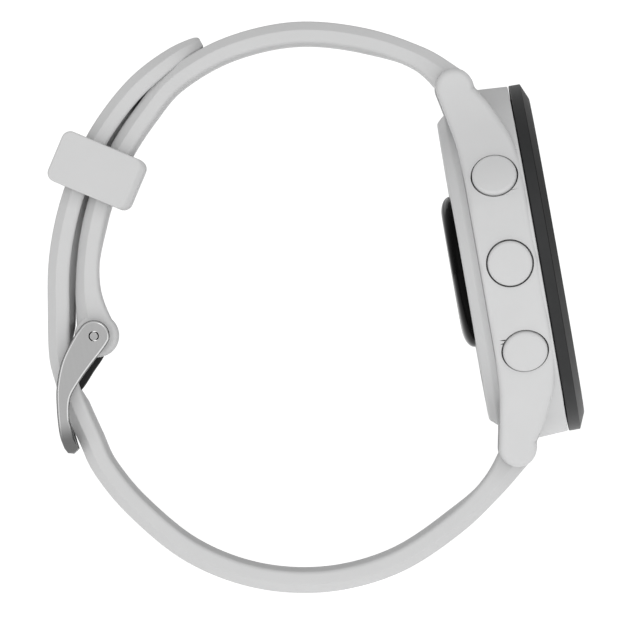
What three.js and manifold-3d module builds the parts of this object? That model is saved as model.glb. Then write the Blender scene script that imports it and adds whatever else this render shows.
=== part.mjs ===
// Running watch, closed on its strap. Millimetres. The origin is the middle of the sensor window's
// flat back face: +X points out through the face, +Z to 12 o'clock and +Y to 3 o'clock.
import * as THREE from 'three';
import { mergeVertices } from 'three/addons/utils/BufferGeometryUtils.js';
import Module from 'manifold-3d';

const wasm = await Module();
wasm.setup();

// ---- driving dimensions -------------------------------------------------------------------------

const caseRadius = 21.2;
const caseFront = 10.44; // front edge of the case wall
const bandBack = 3.3; // back edge of the case wall
const backPlane = 1.37; // outer face of the back cover
const backCoverStep = 2.3; // the back cover is this much smaller on the radius
const wallThickness = 2.8;
const ledgeThickness = 1.0; // front ledge that the display drops through
const bezelHeight = 2.33;
const bezelInset = 0.2;
const bezelSideHeight = 1.52;
const bezelChamfer = 1.9;
const windowRadius = 9.15;
const windowFlatRadius = 6.9;
const windowSkirtDepth = 1.6;

const strapWidth = 20;
const strapThickness = 2.6;
const strapBevel = 1.1;
const lugThickness = 3.0;
const lugEndRadius = 2.25;
const lugPinX = 4.1;
const lugPinStandoff = 0.7; // bar axis beyond the case radius
const strapEndRadius = 2.0;
const barDiameter = 1.7;
const barTipDiameter = 0.9;
const barTipReach = 0.9;

const buttonDiameter = 5.35;
const buttonX = 6.93;
const buttonStandout = 0.7;
const buttonTravel = 0.6;
const buttonStemDiameter = 2.2;
const buttonAngle = 30;

const crownRadius = 26.2; // strap curve over the top of the wrist loop
const footRadius = 26.95; // strap curve under the loop
const flankRadius = 33.0; // strap curve down the buckle side
const layerGap = 0.85; // air between the two strap layers
const buckleLobeRadius = 2.45;
const bucklePinDiameter = 1.0;
const buckleArmThickness = 1.5;
const tongueWidth = 1.7;
const holeWidth = 2.3;
const tonguePlay = 2.2; // a strap hole is this much longer than the strap is thick
const holePitch = 7.0;
const holeCount = 13;
const keeperLength = 6.4;
const keeperWall = 2.2;
const keeperSideWall = 1.7;

const gap = 0.3; // between pieces that rest on each other
const fitGap = 0.12; // around pins and stems, on the radius
const skin = 0.1; // between flat parts of the inner stack

const fine = 48; // sides of the case's large rounds
const medium = 22;
const small = 12;

// ---- solids -------------------------------------------------------------------------------------

function signedVolume(position, index) {
  const [a, b, c] = [new THREE.Vector3(), new THREE.Vector3(), new THREE.Vector3()];
  let total = 0;
  for (let i = 0; i < index.length; i += 3) {
    a.fromBufferAttribute(position, index[i]);
    b.fromBufferAttribute(position, index[i + 1]);
    c.fromBufferAttribute(position, index[i + 2]);
    total += a.dot(b.cross(c)) / 6;
  }
  return total;
}

// A closed geometry as a manifold solid: seams welded, collapsed faces dropped, faces outwards.
function solid(geometry) {
  const bare = geometry.clone();
  bare.deleteAttribute('normal');
  bare.deleteAttribute('uv');
  const welded = mergeVertices(bare, 1e-4);
  const source = welded.index.array;
  const faces = [];
  for (let i = 0; i < source.length; i += 3) {
    const [a, b, c] = [source[i], source[i + 1], source[i + 2]];
    if (a !== b && b !== c && c !== a) {
      faces.push(a, b, c);
    }
  }
  if (signedVolume(welded.attributes.position, faces) < 0) {
    faces.reverse();
  }
  return new wasm.Manifold(new wasm.Mesh({
    numProp: 3,
    vertProperties: new Float32Array(welded.attributes.position.array),
    triVerts: new Uint32Array(faces),
  }));
}

function geometryOf(manifold) {
  const mesh = manifold.getMesh();
  const geometry = new THREE.BufferGeometry();
  geometry.setAttribute('position', new THREE.BufferAttribute(mesh.vertProperties, 3));
  geometry.setIndex(new THREE.BufferAttribute(mesh.triVerts, 1));
  geometry.computeVertexNormals();
  return geometry;
}

const joined = (...parts) => parts.reduce((sum, part) => sum.add(part));
const cut = (body, ...tools) => tools.reduce((rest, tool) => rest.subtract(tool), body);

// A round piece about the X axis, from a closed outline of [x, radius] points.
function turned(outline, sides = medium) {
  const points = outline.map(([x, radius]) => new THREE.Vector2(radius, x));
  const geometry = new THREE.LatheGeometry([...points, points[0].clone()], sides);
  geometry.rotateZ(-Math.PI / 2);
  return solid(geometry);
}

// A disc or, with an inner radius, a ring about the X axis.
function disc(back, front, outer, inner = 0, sides = medium) {
  return turned([[back, inner], [back, outer], [front, outer], [front, inner]], sides);
}

// An outline in the X-Z plane pushed along Y.
function alongY(outline, low, high) {
  const shape = new THREE.Shape(outline.map(([x, z]) => new THREE.Vector2(x, z)));
  const geometry = new THREE.ExtrudeGeometry(shape, { depth: high - low, bevelEnabled: false });
  geometry.translate(0, 0, low);
  geometry.applyMatrix4(new THREE.Matrix4().set(1, 0, 0, 0, 0, 0, 1, 0, 0, 1, 0, 0, 0, 0, 0, 1));
  return solid(geometry);
}

// An outline in the Y-Z plane pushed along X.
function alongX(outline, low, high) {
  const shape = new THREE.Shape(outline.map(([y, z]) => new THREE.Vector2(y, z)));
  const geometry = new THREE.ExtrudeGeometry(shape, { depth: high - low, bevelEnabled: false });
  geometry.translate(0, 0, low);
  geometry.applyMatrix4(new THREE.Matrix4().set(0, 0, 1, 0, 1, 0, 0, 0, 0, 1, 0, 0, 0, 0, 0, 1));
  return solid(geometry);
}

function box(low, high) {
  const size = low.map((value, i) => high[i] - value);
  const geometry = new THREE.BoxGeometry(...size);
  geometry.translate(...low.map((value, i) => value + size[i] / 2));
  return solid(geometry);
}

// A round bar along Y, centred on an axis through (x, z).
function barY(x, z, radius, low, high, sides = small) {
  const geometry = new THREE.CylinderGeometry(radius, radius, high - low, sides);
  geometry.translate(x, (low + high) / 2, z);
  return solid(geometry);
}

// A round bar between two points.
function rod(from, to, radius, sides = small) {
  const a = new THREE.Vector3(...from);
  const b = new THREE.Vector3(...to);
  const geometry = new THREE.CylinderGeometry(radius, radius, a.distanceTo(b), sides);
  const turn = new THREE.Quaternion();
  turn.setFromUnitVectors(new THREE.Vector3(0, 1, 0), b.clone().sub(a).normalize());
  geometry.applyQuaternion(turn);
  geometry.translate(...a.add(b).multiplyScalar(0.5).toArray());
  return solid(geometry);
}

const radians = THREE.MathUtils.degToRad;
const onCircle = ([x, z], radius, degrees) => [
  x + radius * Math.cos(radians(degrees)),
  z + radius * Math.sin(radians(degrees)),
];

function arc(centre, radius, from, to, steps) {
  const points = [];
  for (let i = 0; i <= steps; i += 1) {
    points.push(onCircle(centre, radius, from + ((to - from) * i) / steps));
  }
  return points;
}

function smooth(points, steps) {
  const curve = new THREE.SplineCurve(points.map(([x, z]) => new THREE.Vector2(x, z)));
  return curve.getPoints(steps).map((p) => [p.x, p.y]);
}

const group = new THREE.Group();

function add(name, body, colour, roughness, metalness = 0) {
  const material = new THREE.MeshStandardMaterial({ color: colour, roughness, metalness });
  const mesh = new THREE.Mesh(geometryOf(body), material);
  mesh.name = name;
  group.add(mesh);
}

const whitestone = 0xcfcfd0;
const slate = 0x3a3b3d;
const inkBlack = 0x08080a;
const steel = 0xa2a3a5;
const boardGreen = 0x1d4a33;

// ---- places worked out from the sizes -----------------------------------------------------------

const lugPinZ = caseRadius + lugPinStandoff;
const lugInnerY = strapWidth / 2 + gap;
const lugOuterY = lugInnerY + lugThickness;
const cavityRadius = caseRadius - wallThickness;
const backCoverRadius = caseRadius - backCoverStep;
const bezelRadius = caseRadius - bezelInset;
const bezelFaceRadius = bezelRadius - bezelChamfer;
const ledgeBack = caseFront - ledgeThickness;
const ledgeRadius = cavityRadius - 1.0;
const barEndY = lugInnerY - gap;
const antennaFront = ledgeBack - skin;
const antennaBack = antennaFront - 0.35;
const frameFront = antennaBack - skin;
const frameBack = frameFront - 0.35;

// ---- case ---------------------------------------------------------------------------------------

const caseCorner = 0.4;

// One side band with its two lugs: the side view of the band, cut by its plan view.
function sideBand(side) {
  const lugEnd = arc([lugPinX, lugPinZ], lugEndRadius, -10, 190, 10);
  const frontEdge = smooth([
    [caseFront - 0.1, caseRadius - 9.6],
    [caseFront - 0.6, caseRadius - 7.1],
    [caseFront - 1.85, caseRadius - 3.9],
    [caseFront - 3.1, caseRadius - 1.9],
    lugEnd[0],
  ], 9).slice(0, -1);
  const backEdge = smooth([
    lugEnd[lugEnd.length - 1],
    [bandBack - 0.75, caseRadius - 3.0],
    [bandBack - 0.2, caseRadius - 6.4],
    [bandBack, caseRadius - 10.5],
  ], 6).slice(1);
  const upper = [...frontEdge, ...lugEnd, ...backEdge];
  const lower = upper.map(([x, z]) => [x, -z]).reverse();
  const profile = alongY([...upper, ...lower], -2 * caseRadius, 2 * caseRadius);

  const tipZ = lugPinZ + lugEndRadius + 1;
  const flare = smooth([
    [lugOuterY - 0.5, tipZ],
    [lugOuterY, lugPinZ],
    [lugOuterY + 1.5, lugPinZ - 4.5],
    onCircle([0, 0], caseRadius + 0.05, 34),
    onCircle([0, 0], caseRadius + 0.15, 20),
    [caseRadius + 0.2, 0],
  ], 16);
  const outer = [...flare, ...flare.slice(0, -1).reverse().map(([y, z]) => [y, -z])];
  const inner = [[lugInnerY, -tipZ], [lugInnerY, tipZ]];
  const plan = alongX([...outer, ...inner].map(([y, z]) => [side * y, z]), -5, caseFront + 5);
  return profile.intersect(plan);
}

const buttons = [
  { name: 'button_light', angle: 180 - buttonAngle },
  { name: 'button_up', angle: 180 },
  { name: 'button_down', angle: 180 + buttonAngle },
  { name: 'button_start', angle: buttonAngle },
  { name: 'button_back', angle: -buttonAngle },
];

// A point at a radius from the case's axis, in the direction of a button.
const fromAxis = (angle, radius, x = buttonX) => [
  x,
  radius * Math.cos(radians(angle)),
  radius * Math.sin(radians(angle)),
];

const pocketFloor = caseRadius - 1.55;
const capBottom = pocketFloor + buttonTravel + 0.1;
const capRadius = buttonDiameter / 2;
const stemRadius = buttonStemDiameter / 2;
const stemEnd = cavityRadius - 0.9;
const sealGroove = pocketFloor - 1.1;

const screwCircle = cavityRadius - 2.0;
const bossRadius = 2.1;
const screwAngles = [50, 130, 230, 310];
const screwPlace = (angle) => onCircle([0, 0], screwCircle, angle);
const screwRadius = 0.6;
const screwEnd = bandBack + 3.2;

function caseShell() {
  const wall = turned([
    [bandBack, cavityRadius],
    [bandBack, caseRadius - caseCorner],
    [bandBack + caseCorner, caseRadius],
    [caseFront - 0.15, caseRadius],
    [caseFront, caseRadius - 0.15],
    [caseFront, ledgeRadius],
    [ledgeBack, ledgeRadius],
    [ledgeBack, cavityRadius],
  ], fine);
  const hollow = disc(bandBack - 4, ledgeBack, cavityRadius, 0, fine);
  const coverRoom = disc(-9, bandBack, backCoverRadius + gap, 0, fine);
  const inside = joined(hollow, disc(-9, 20, ledgeRadius, 0, fine), coverRoom);
  const bands = cut(joined(sideBand(1), sideBand(-1)), inside);
  const bosses = screwAngles.map((angle) => {
    const [y, z] = screwPlace(angle);
    return rod([bandBack + 1.2, y, z], [frameBack - gap, y, z], bossRadius);
  });
  const body = joined(wall, bands, ...bosses);
  const tools = [];
  for (const { angle } of buttons) {
    const pocketRadius = capRadius + 0.2;
    tools.push(rod(fromAxis(angle, pocketFloor), fromAxis(angle, caseRadius + 5), pocketRadius, medium));
    tools.push(rod(fromAxis(angle, cavityRadius - 2), fromAxis(angle, caseRadius), stemRadius + fitGap));
  }
  for (const angle of screwAngles) {
    const [y, z] = screwPlace(angle);
    tools.push(rod([bandBack, y, z], [screwEnd + 0.3, y, z], screwRadius + 0.1, 12));
  }
  const scoop = strapEndRadius + gap;
  for (const up of [1, -1]) {
    tools.push(barY(lugPinX, up * lugPinZ, scoop, -lugInnerY, lugInnerY, medium));
    const tipRadius = barTipDiameter / 2 + fitGap;
    tools.push(barY(lugPinX, up * lugPinZ, tipRadius, -lugInnerY - 1.3, lugInnerY + 1.3));
  }
  return cut(body, ...tools);
}

add('case_shell', caseShell(), whitestone, 0.5);

// ---- back cover, sensor window and charging socket ------------------------------------------------

const coverFloor = 1.2;
const coverInside = backPlane + coverFloor;
const coverLipRadius = cavityRadius - 0.25;
const windowHole = windowRadius - 1.9;
const socketZ = -13.7;
const socketHalf = [4.4, 1.7];
const coverLipFront = bandBack + 0.9;
const gasketWidth = 0.9;

function backCover() {
  const shell = turned([
    [backPlane, 0],
    [backPlane, backCoverRadius - 0.9],
    [backPlane + 0.3, backCoverRadius - 0.7],
    [backPlane + 1.0, backCoverRadius],
    [bandBack - gap, backCoverRadius],
    [bandBack - gap, coverLipRadius],
    [coverLipFront, coverLipRadius],
    [coverLipFront, coverLipRadius - 0.9],
    [coverInside, coverLipRadius - 0.9],
    [coverInside, 0],
  ], fine);
  const groove = disc(bandBack + 0.2, coverLipFront + 1, cavityRadius, coverLipRadius - 0.45, fine);
  const screwSeats = screwAngles.map((angle) => {
    const [y, z] = screwPlace(angle);
    return rod([coverInside - 0.5, y, z], [coverInside + 0.7, y, z], 1.6);
  });
  const tools = screwAngles.flatMap((angle) => {
    const [y, z] = screwPlace(angle);
    return [
      rod([backPlane - 1, y, z], [backPlane + 0.8, y, z], 1.4),
      rod([backPlane - 1, y, z], [coverInside + 2, y, z], screwRadius + 0.15, 12),
    ];
  });
  const socket = box(
    [backPlane - 1, -socketHalf[0], socketZ - socketHalf[1]],
    [coverInside + 1, socketHalf[0], socketZ + socketHalf[1]],
  );
  return cut(joined(shell, ...screwSeats), groove, ...tools, socket, disc(0, 9, windowHole + 0.2));
}

add('back_cover', backCover(), whitestone, 0.55);
const gasketOuter = cavityRadius - 0.08;
const gasketInner = gasketOuter - gasketWidth / 2 + 0.05;
const backGasket = disc(bandBack + 0.25, coverLipFront, gasketOuter, gasketInner, fine);
add('back_gasket', backGasket, 0x202022, 0.9);

for (const [i, angle] of screwAngles.entries()) {
  const [y, z] = screwPlace(angle);
  const headBack = backPlane + 0.1;
  const head = rod([headBack, y, z], [headBack + 0.6, y, z], 1.2);
  const shank = rod([headBack + 0.5, y, z], [screwEnd, y, z], screwRadius, 12);
  const socket = rod([headBack - 1, y, z], [headBack + 0.35, y, z], 0.5, 6);
  add(`back_screw_${i + 1}`, cut(joined(head, shank), socket), steel, 0.35, 1);
}

const windowInside = backPlane + windowSkirtDepth;
const windowSkin = 0.9;
const edgeRounding = 4;

function sensorWindow() {
  const rise = backPlane - skin;
  const run = windowRadius - windowFlatRadius;
  const crown = [];
  for (let i = 0; i <= edgeRounding; i += 1) {
    const turn = (Math.PI / 2) * (i / edgeRounding);
    crown.push([rise * (1 - Math.cos(turn)), windowFlatRadius + run * Math.sin(turn)]);
  }
  return turned([
    [0, 0],
    ...crown,
    [backPlane - skin / 2, windowRadius],
    [backPlane - skin / 2, windowHole],
    [windowInside, windowHole],
    [windowInside, windowHole - 0.8],
    [windowSkin, windowHole - 0.8],
    [windowSkin, 0],
  ], fine);
}

add('sensor_window', sensorWindow(), inkBlack, 0.06);

const ledHeight = 0.5;
const sensorBoardBack = windowInside + skin;
const sensorBoardFront = sensorBoardBack + 0.6;
add('sensor_board', disc(sensorBoardBack, sensorBoardFront, windowHole + 0.1), boardGreen, 0.6);

function chip(name, y, z, width, height, colour) {
  const back = sensorBoardBack - skin - ledHeight;
  const low = [back, y - width / 2, z - height / 2];
  const high = [sensorBoardBack - skin, y + width / 2, z + height / 2];
  add(name, box(low, high), colour, 0.3);
}

for (let i = 0; i < 3; i += 1) {
  chip(`sensor_led_${i + 1}`, (i - 1) * 2.4, 0, 1.2, 1.2, 0xe8efe2);
}
chip('photodiode_1', 0, 3.2, 3.4, 1.8, 0x20242c);
chip('photodiode_2', 0, -3.2, 3.4, 1.8, 0x20242c);

const pinPitch = 1.9;
const socketBack = backPlane + 0.5;
const socketFront = coverInside + 0.3;
function chargeSocket() {
  const [halfY, halfZ] = socketHalf.map((half) => half - 0.1);
  const block = box([socketBack, -halfY, socketZ - halfZ], [socketFront, halfY, socketZ + halfZ]);
  const bores = [0, 1, 2, 3].map((i) => {
    const y = (i - 1.5) * pinPitch;
    return rod([socketBack - 1, y, socketZ], [socketFront + 1, y, socketZ], 0.55, 12);
  });
  return cut(block, ...bores);
}

add('charge_socket', chargeSocket(), 0x1b1b1d, 0.7);
for (let i = 0; i < 4; i += 1) {
  const y = (i - 1.5) * pinPitch;
  const pin = rod([socketBack - 0.1, y, socketZ], [socketFront + 0.2, y, socketZ], 0.45, 12);
  add(`charge_pin_${i + 1}`, pin, 0xd6b25e, 0.3, 1);
}

// ---- inner stack ----------------------------------------------------------------------------------

const batteryBack = sensorBoardFront + 0.25;
const batteryFront = batteryBack + 3.1;
const boardBack = batteryFront + 0.15;
const boardFront = boardBack + 0.8;
const switchDepth = 1.3;
const switchOuter = stemEnd - buttonTravel - 0.1;
const boardRadius = switchOuter - switchDepth - 0.3;

const discRadius = 4; // of the vibration motor and the buzzer
const discZ = cavityRadius - 8.1;
const batteryTop = discZ - discRadius - 0.7;
const batteryBottom = 8 - cavityRadius;
const batteryHalfY = 9;

function battery() {
  const corner = 1.6;
  const outline = [
    ...arc([batteryHalfY - corner, batteryTop - corner], corner, 0, 90, 4),
    ...arc([corner - batteryHalfY, batteryTop - corner], corner, 90, 180, 4),
    ...arc([corner - batteryHalfY, batteryBottom + corner], corner, 180, 270, 4),
    ...arc([batteryHalfY - corner, batteryBottom + corner], corner, 270, 360, 4),
  ];
  return alongX(outline, batteryBack, batteryFront);
}

add('battery', battery(), 0xb9bcc0, 0.4, 0.6);
const discY = discRadius + 0.6;
const motor = rod([batteryBack, -discY, discZ], [batteryBack + 2.6, -discY, discZ], discRadius, 24);
add('vibration_motor', motor, steel, 0.3, 1);
const buzzer = rod([batteryBack, discY, discZ], [batteryBack + 1.8, discY, discZ], discRadius, 24);
add('buzzer', buzzer, 0xc9a24a, 0.35, 0.8);

function mainBoard() {
  const plate = disc(boardBack, boardFront, boardRadius);
  const shield = box([boardFront - 0.1, -7, -4], [boardFront + 0.3, 7, 6]);
  const notches = screwAngles.map((angle) => {
    const [y, z] = screwPlace(angle);
    return rod([boardBack - 1, y, z], [boardFront + 1, y, z], bossRadius + gap);
  });
  return cut(joined(plate, shield), ...notches);
}

add('main_board', mainBoard(), boardGreen, 0.55);

const displayFront = caseFront + 0.5;
const displayBack = ledgeBack + 0.15;
add('inner_frame', disc(frameBack, frameFront, cavityRadius - 0.25, 6), 0x2b2c2e, 0.6);
const antennaRing = disc(antennaBack, antennaFront, cavityRadius - 0.3, cavityRadius - 2.4);
const antennaSlot = box([0, -1.5, -30], [20, 1.5, 0]);
add('gnss_antenna', cut(antennaRing, antennaSlot), 0xc78a4e, 0.4, 0.9);
add('display_panel', disc(displayBack, displayFront, ledgeRadius - 0.3, 0, fine), 0x0b0c0f, 0.25);
const flex = box([boardFront + 0.15, -3, -13.5], [frameBack - 0.1, 3, -7]);
add('display_flex', flex, 0xb56b21, 0.5);

// ---- bezel and lens -------------------------------------------------------------------------------

const bezelBack = caseFront + 0.15;
const bezelFront = caseFront + bezelHeight;
const lensRadius = bezelFaceRadius - 0.5;
const lensBack = displayFront + 0.35;

add('bezel_ring', turned([
  [bezelBack, ledgeRadius + 0.1],
  [bezelBack, bezelRadius],
  [caseFront + bezelSideHeight, bezelRadius],
  [bezelFront, bezelFaceRadius],
  [bezelFront, lensRadius + 0.15],
  [lensBack - 0.05, lensRadius + 0.15],
  [lensBack - 0.05, ledgeRadius + 0.1],
], fine), slate, 0.35);
const lensFront = bezelFront - 0.1;
add('front_lens', turned([
  [lensBack, 0],
  [lensBack, lensRadius],
  [lensFront - 0.3, lensRadius],
  [lensFront, lensRadius - 0.3],
  [lensFront, 0],
], fine), inkBlack, 0.05);
const lensGasket = disc(displayFront + 0.05, lensBack - 0.05, ledgeRadius - 0.1, ledgeRadius - 1, fine);
add('lens_gasket', lensGasket, 0x161618, 0.9);

// ---- buttons, with the seal and switch of each -----------------------------------------------------

// An outline of [distance, radius] points turned about a button's own axis.
function onButtonAxis(angle, outline, sides) {
  const points = outline.map(([distance, radius]) => new THREE.Vector2(radius, distance));
  const geometry = new THREE.LatheGeometry([...points, points[0].clone()], sides);
  const turn = new THREE.Quaternion();
  const outwards = new THREE.Vector3(...fromAxis(angle, 1, 0));
  turn.setFromUnitVectors(new THREE.Vector3(0, 1, 0), outwards);
  geometry.applyQuaternion(turn);
  geometry.translate(buttonX, 0, 0);
  return solid(geometry);
}

const capTop = caseRadius + buttonStandout;
for (const [i, { name, angle }] of buttons.entries()) {
  add(name, onButtonAxis(angle, [
    [stemEnd, 0],
    [stemEnd, stemRadius],
    [sealGroove, stemRadius],
    [sealGroove, stemRadius - 0.4],
    [sealGroove + 0.7, stemRadius - 0.4],
    [sealGroove + 0.7, stemRadius],
    [capBottom, stemRadius],
    [capBottom, capRadius],
    [capTop - 0.5, capRadius],
    [capTop - 0.16, capRadius - 0.25],
    [capTop - 0.04, capRadius - 0.8],
    [capTop, 0],
  ], medium), whitestone, 0.45);
  const sealInner = stemRadius - 0.35;
  const sealOuter = stemRadius + fitGap - 0.02;
  add(`button_seal_${i + 1}`, onButtonAxis(angle, [
    [sealGroove + 0.05, sealInner],
    [sealGroove + 0.05, sealOuter],
    [sealGroove + 0.65, sealOuter],
    [sealGroove + 0.65, sealInner],
  ], small), 0x1a1a1c, 0.9);
  const keyBlock = box([-1.3, -switchDepth, -1.7], [1.3, 0, 1.7]);
  const plunger = rod([0, -0.1, 0], [0, 0.05, 0], 0.8, 12);
  const about = joined(keyBlock, plunger).rotate([angle, 0, 0]);
  const place = fromAxis(angle, switchOuter - 0.05);
  add(`button_switch_${i + 1}`, about.translate(place), 0x4a4c50, 0.4, 0.5);
}

// ---- strap ----------------------------------------------------------------------------------------

// A route through the points, as evenly spaced places with the outward normal of the loop.
function route(points, steps) {
  const curve = new THREE.SplineCurve(points.map(([x, z]) => new THREE.Vector2(x, z)));
  curve.arcLengthDivisions = 800;
  const length = curve.getLength();
  const places = [];
  for (let i = 0; i <= steps; i += 1) {
    const point = curve.getPointAt(i / steps);
    const along = curve.getTangentAt(i / steps);
    places.push({ x: point.x, z: point.y, tx: along.x, tz: along.y, s: (length * i) / steps, length });
  }
  return places;
}

// The strap's closed skin along a route. outward is +1 or -1, the side of the travel that is outside;
// shapeAt(place) gives the thickness inside and outside of the route, and the half width.
function ribbon(places, outward, shapeAt) {
  const corners = [];
  for (const place of places) {
    const [nx, nz] = [-place.tz * outward, place.tx * outward];
    const { inside, outside, half } = shapeAt(place);
    const shoulder = outside - (inside + outside) * 0.4;
    const bevel = Math.min(strapBevel, half / 3);
    const section = [
      [-half, -inside],
      [half, -inside],
      [half, shoulder],
      [half - bevel * 0.55, outside - 0.25],
      [half - bevel, outside],
      [bevel - half, outside],
      [bevel * 0.55 - half, outside - 0.25],
      [-half, shoulder],
    ];
    corners.push(section.map(([w, v]) => [place.x + nx * v, w, place.z + nz * v]));
  }
  const count = corners[0].length;
  const index = [];
  for (let ring = 0; ring + 1 < corners.length; ring += 1) {
    for (let k = 0; k < count; k += 1) {
      const next = (k + 1) % count;
      const [a, b] = [ring * count + k, ring * count + next];
      index.push(a, b, b + count, a, b + count, a + count);
    }
  }
  const last = (corners.length - 1) * count;
  for (let k = 1; k + 1 < count; k += 1) {
    index.push(0, k + 1, k, last, last + k, last + k + 1);
  }
  const geometry = new THREE.BufferGeometry();
  geometry.setAttribute('position', new THREE.Float32BufferAttribute(corners.flat(2), 3));
  geometry.setIndex(index);
  return solid(geometry);
}

const upperPin = [lugPinX, lugPinZ];
const lowerPin = [lugPinX, -lugPinZ];
const crownCentre = [upperPin[0] - 20.4, upperPin[1] - 16.3];
const flankJoin = 139.4; // where the crown curve runs into the flank curve
const flankEase = 0.55;
const flankCentre = onCircle(crownCentre, flankRadius - crownRadius + flankEase, flankJoin - 180);
const footCentre = [lowerPin[0] - 23.3, lowerPin[1] + 15.15];
const bucklePin = onCircle(flankCentre, flankRadius - 0.2, 181.3);

// Buckle half: from the upper lug bar over the crown and down the flank to the buckle pin.
const upperRoute = route([
  upperPin,
  onCircle(crownCentre, crownRadius + 0.35, 50),
  ...[66, 84, 102, 118].map((angle) => onCircle(crownCentre, crownRadius, angle)),
  ...[132, 142, 152, 162, 172].map((angle) => onCircle(flankCentre, flankRadius, angle)),
  bucklePin,
], 32);

const halfThickness = strapThickness / 2;
const swell = (distance, reach) => Math.max(0, 1 - distance / reach) ** 2;
const rootReach = 8; // the strap thickens over this length towards its lugs

const throat = (up) => barY(lugPinX, up * lugPinZ, barDiameter / 2 + fitGap, -30, 30);
const leverReach = 3.0;
const leverAway = (up) => [-0.8 * leverReach, -0.6 * leverReach * up];
const leverCollarY = [-barEndY + 0.7, -barEndY + 1.7];
const barTravel = barTipReach + 0.1;

// The window in the strap end that the release lever slides in.
function leverWindow(up) {
  const [dx, dz] = leverAway(up).map((value) => value * 1.6);
  const side = [-dz, dx].map((value) => (value / Math.hypot(dx, dz)) * 0.85);
  const [x, z] = [lugPinX, up * lugPinZ];
  const outline = [
    [x + side[0], z + side[1]],
    [x + dx + side[0], z + dz + side[1]],
    [x + dx - side[0], z + dz - side[1]],
    [x - side[0], z - side[1]],
  ];
  return alongY(outline, leverCollarY[0] - 0.3, leverCollarY[1] + barTravel + 0.3);
}

// The strap's end between the lugs: a roll round the bar, and a lip that hugs the case wall.
function strapEnd(up, half) {
  const roll = barY(lugPinX, up * lugPinZ, strapEndRadius, -half, half, medium);
  const outline = [
    [-0.9, 0.2],
    [-0.7, 1.85],
    [0.8, 2.1],
    [1.75, 1.45],
    [2.25, 0.5],
    [2.4, -0.35],
    [2.9, -0.85],
    [3.7, -1.25],
    [4.25, -1.9],
    [4.2, -6.0],
    [1.3, -6.0],
  ].map(([dx, dz]) => [lugPinX + dx, up * (lugPinZ + dz)]);
  const lip = alongY(outline, -half, half);
  return joined(roll, cut(lip, disc(-9, 40, caseRadius + gap, 0, fine)));
}

const strapHalf = strapWidth / 2;
const hubSlotHalf = tongueWidth / 2 + gap;
const hubRadius = bucklePinDiameter / 2 + 0.9;

function strapUpper() {
  const band = ribbon(upperRoute, -1, ({ s, length }) => {
    const lobe = swell(length - s, 9);
    const root = swell(s, rootReach);
    return {
      inside: halfThickness + (buckleLobeRadius - halfThickness) * lobe + 0.45 * root,
      outside: halfThickness + (buckleLobeRadius - halfThickness) * lobe * 0.6 + 1.0 * root,
      half: strapHalf,
    };
  });
  const lobe = barY(...bucklePin, buckleLobeRadius, -strapHalf, strapHalf, medium);
  const slot = barY(...bucklePin, buckleLobeRadius + 2, -hubSlotHalf, hubSlotHalf, medium);
  const bore = barY(...bucklePin, bucklePinDiameter / 2 + fitGap, -30, 30);
  const clearCase = disc(0, 40, caseRadius + gap, 0, fine);
  const shape = joined(cut(band, clearCase), strapEnd(1, strapHalf), lobe);
  return cut(shape, slot, bore, throat(1), leverWindow(1));
}

add('strap_upper', strapUpper(), whitestone, 0.7);

// Hole half: under the loop, past the buckle, and outside the buckle half to its tip.
const layerStep = strapThickness + layerGap;
const passGap = buckleLobeRadius + halfThickness + 0.65;
const besidePin = (dx, dz) => [bucklePin[0] - passGap + dx, bucklePin[1] + dz];
const lowerRoute = route([
  lowerPin,
  onCircle(footCentre, footRadius + 0.5, -44),
  ...[-58, -76, -94, -112, -130, -148].map((angle) => onCircle(footCentre, footRadius, angle)),
  onCircle(footCentre, footRadius + 0.45, -161),
  besidePin(1.83, -12.2),
  besidePin(1.12, -9.5),
  besidePin(0.53, -7),
  besidePin(0.18, -4.5),
  besidePin(0, -1.6),
  ...[176, 166, 156, 146].map((angle) => onCircle(flankCentre, flankRadius + layerStep, angle)),
  onCircle(flankCentre, flankRadius + layerStep - 0.1, 138),
  onCircle(flankCentre, flankRadius + layerStep - 0.35, 129),
  onCircle(flankCentre, flankRadius + layerStep - 0.8, 120),
  onCircle(flankCentre, flankRadius + layerStep - 1.3, 114.8),
], 62);

// The strap hole that the tongue stands in, by its distance below the buckle pin.
const crossing = -6.2;
const lowerLength = lowerRoute[0].length;
const atHeight = lowerRoute.reduce((best, place) => {
  const miss = Math.hypot(place.x - bucklePin[0] + passGap, place.z - bucklePin[1] - crossing);
  return miss < best.miss ? { miss, place } : best;
}, { miss: Infinity }).place;

// The place on the route at a distance along it.
function placeAt(distance) {
  const step = lowerLength / (lowerRoute.length - 1);
  const i = Math.min(Math.floor(distance / step), lowerRoute.length - 2);
  const share = distance / step - i;
  const [a, b] = [lowerRoute[i], lowerRoute[i + 1]];
  const mix = (key) => a[key] + (b[key] - a[key]) * share;
  return { x: mix('x'), z: mix('z'), tx: mix('tx'), tz: mix('tz') };
}

const holeLength = strapThickness + tonguePlay;

// A long hole through the strap at a place on its route.
function strapHole(distance) {
  const { x, z, tx, tz } = placeAt(distance);
  const bar = (shift) => {
    const [cx, cz] = [x + tx * shift, z + tz * shift];
    return rod([cx - tz * 4, 0, cz + tx * 4], [cx + tz * 4, 0, cz - tx * 4], holeWidth / 2, 8);
  };
  const reach = (holeLength - holeWidth) / 2;
  const slab = alongY([
    [x + tx * reach - tz * 4, z + tz * reach + tx * 4],
    [x + tx * reach + tz * 4, z + tz * reach - tx * 4],
    [x - tx * reach + tz * 4, z - tz * reach - tx * 4],
    [x - tx * reach - tz * 4, z - tz * reach + tx * 4],
  ], -holeWidth / 2, holeWidth / 2);
  return joined(bar(reach), slab, bar(-reach));
}

const tipLength = 9;
const holesAbove = Math.floor((lowerLength - tipLength - atHeight.s) / holePitch);
const holesBelow = holeCount - 1 - holesAbove;

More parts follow.
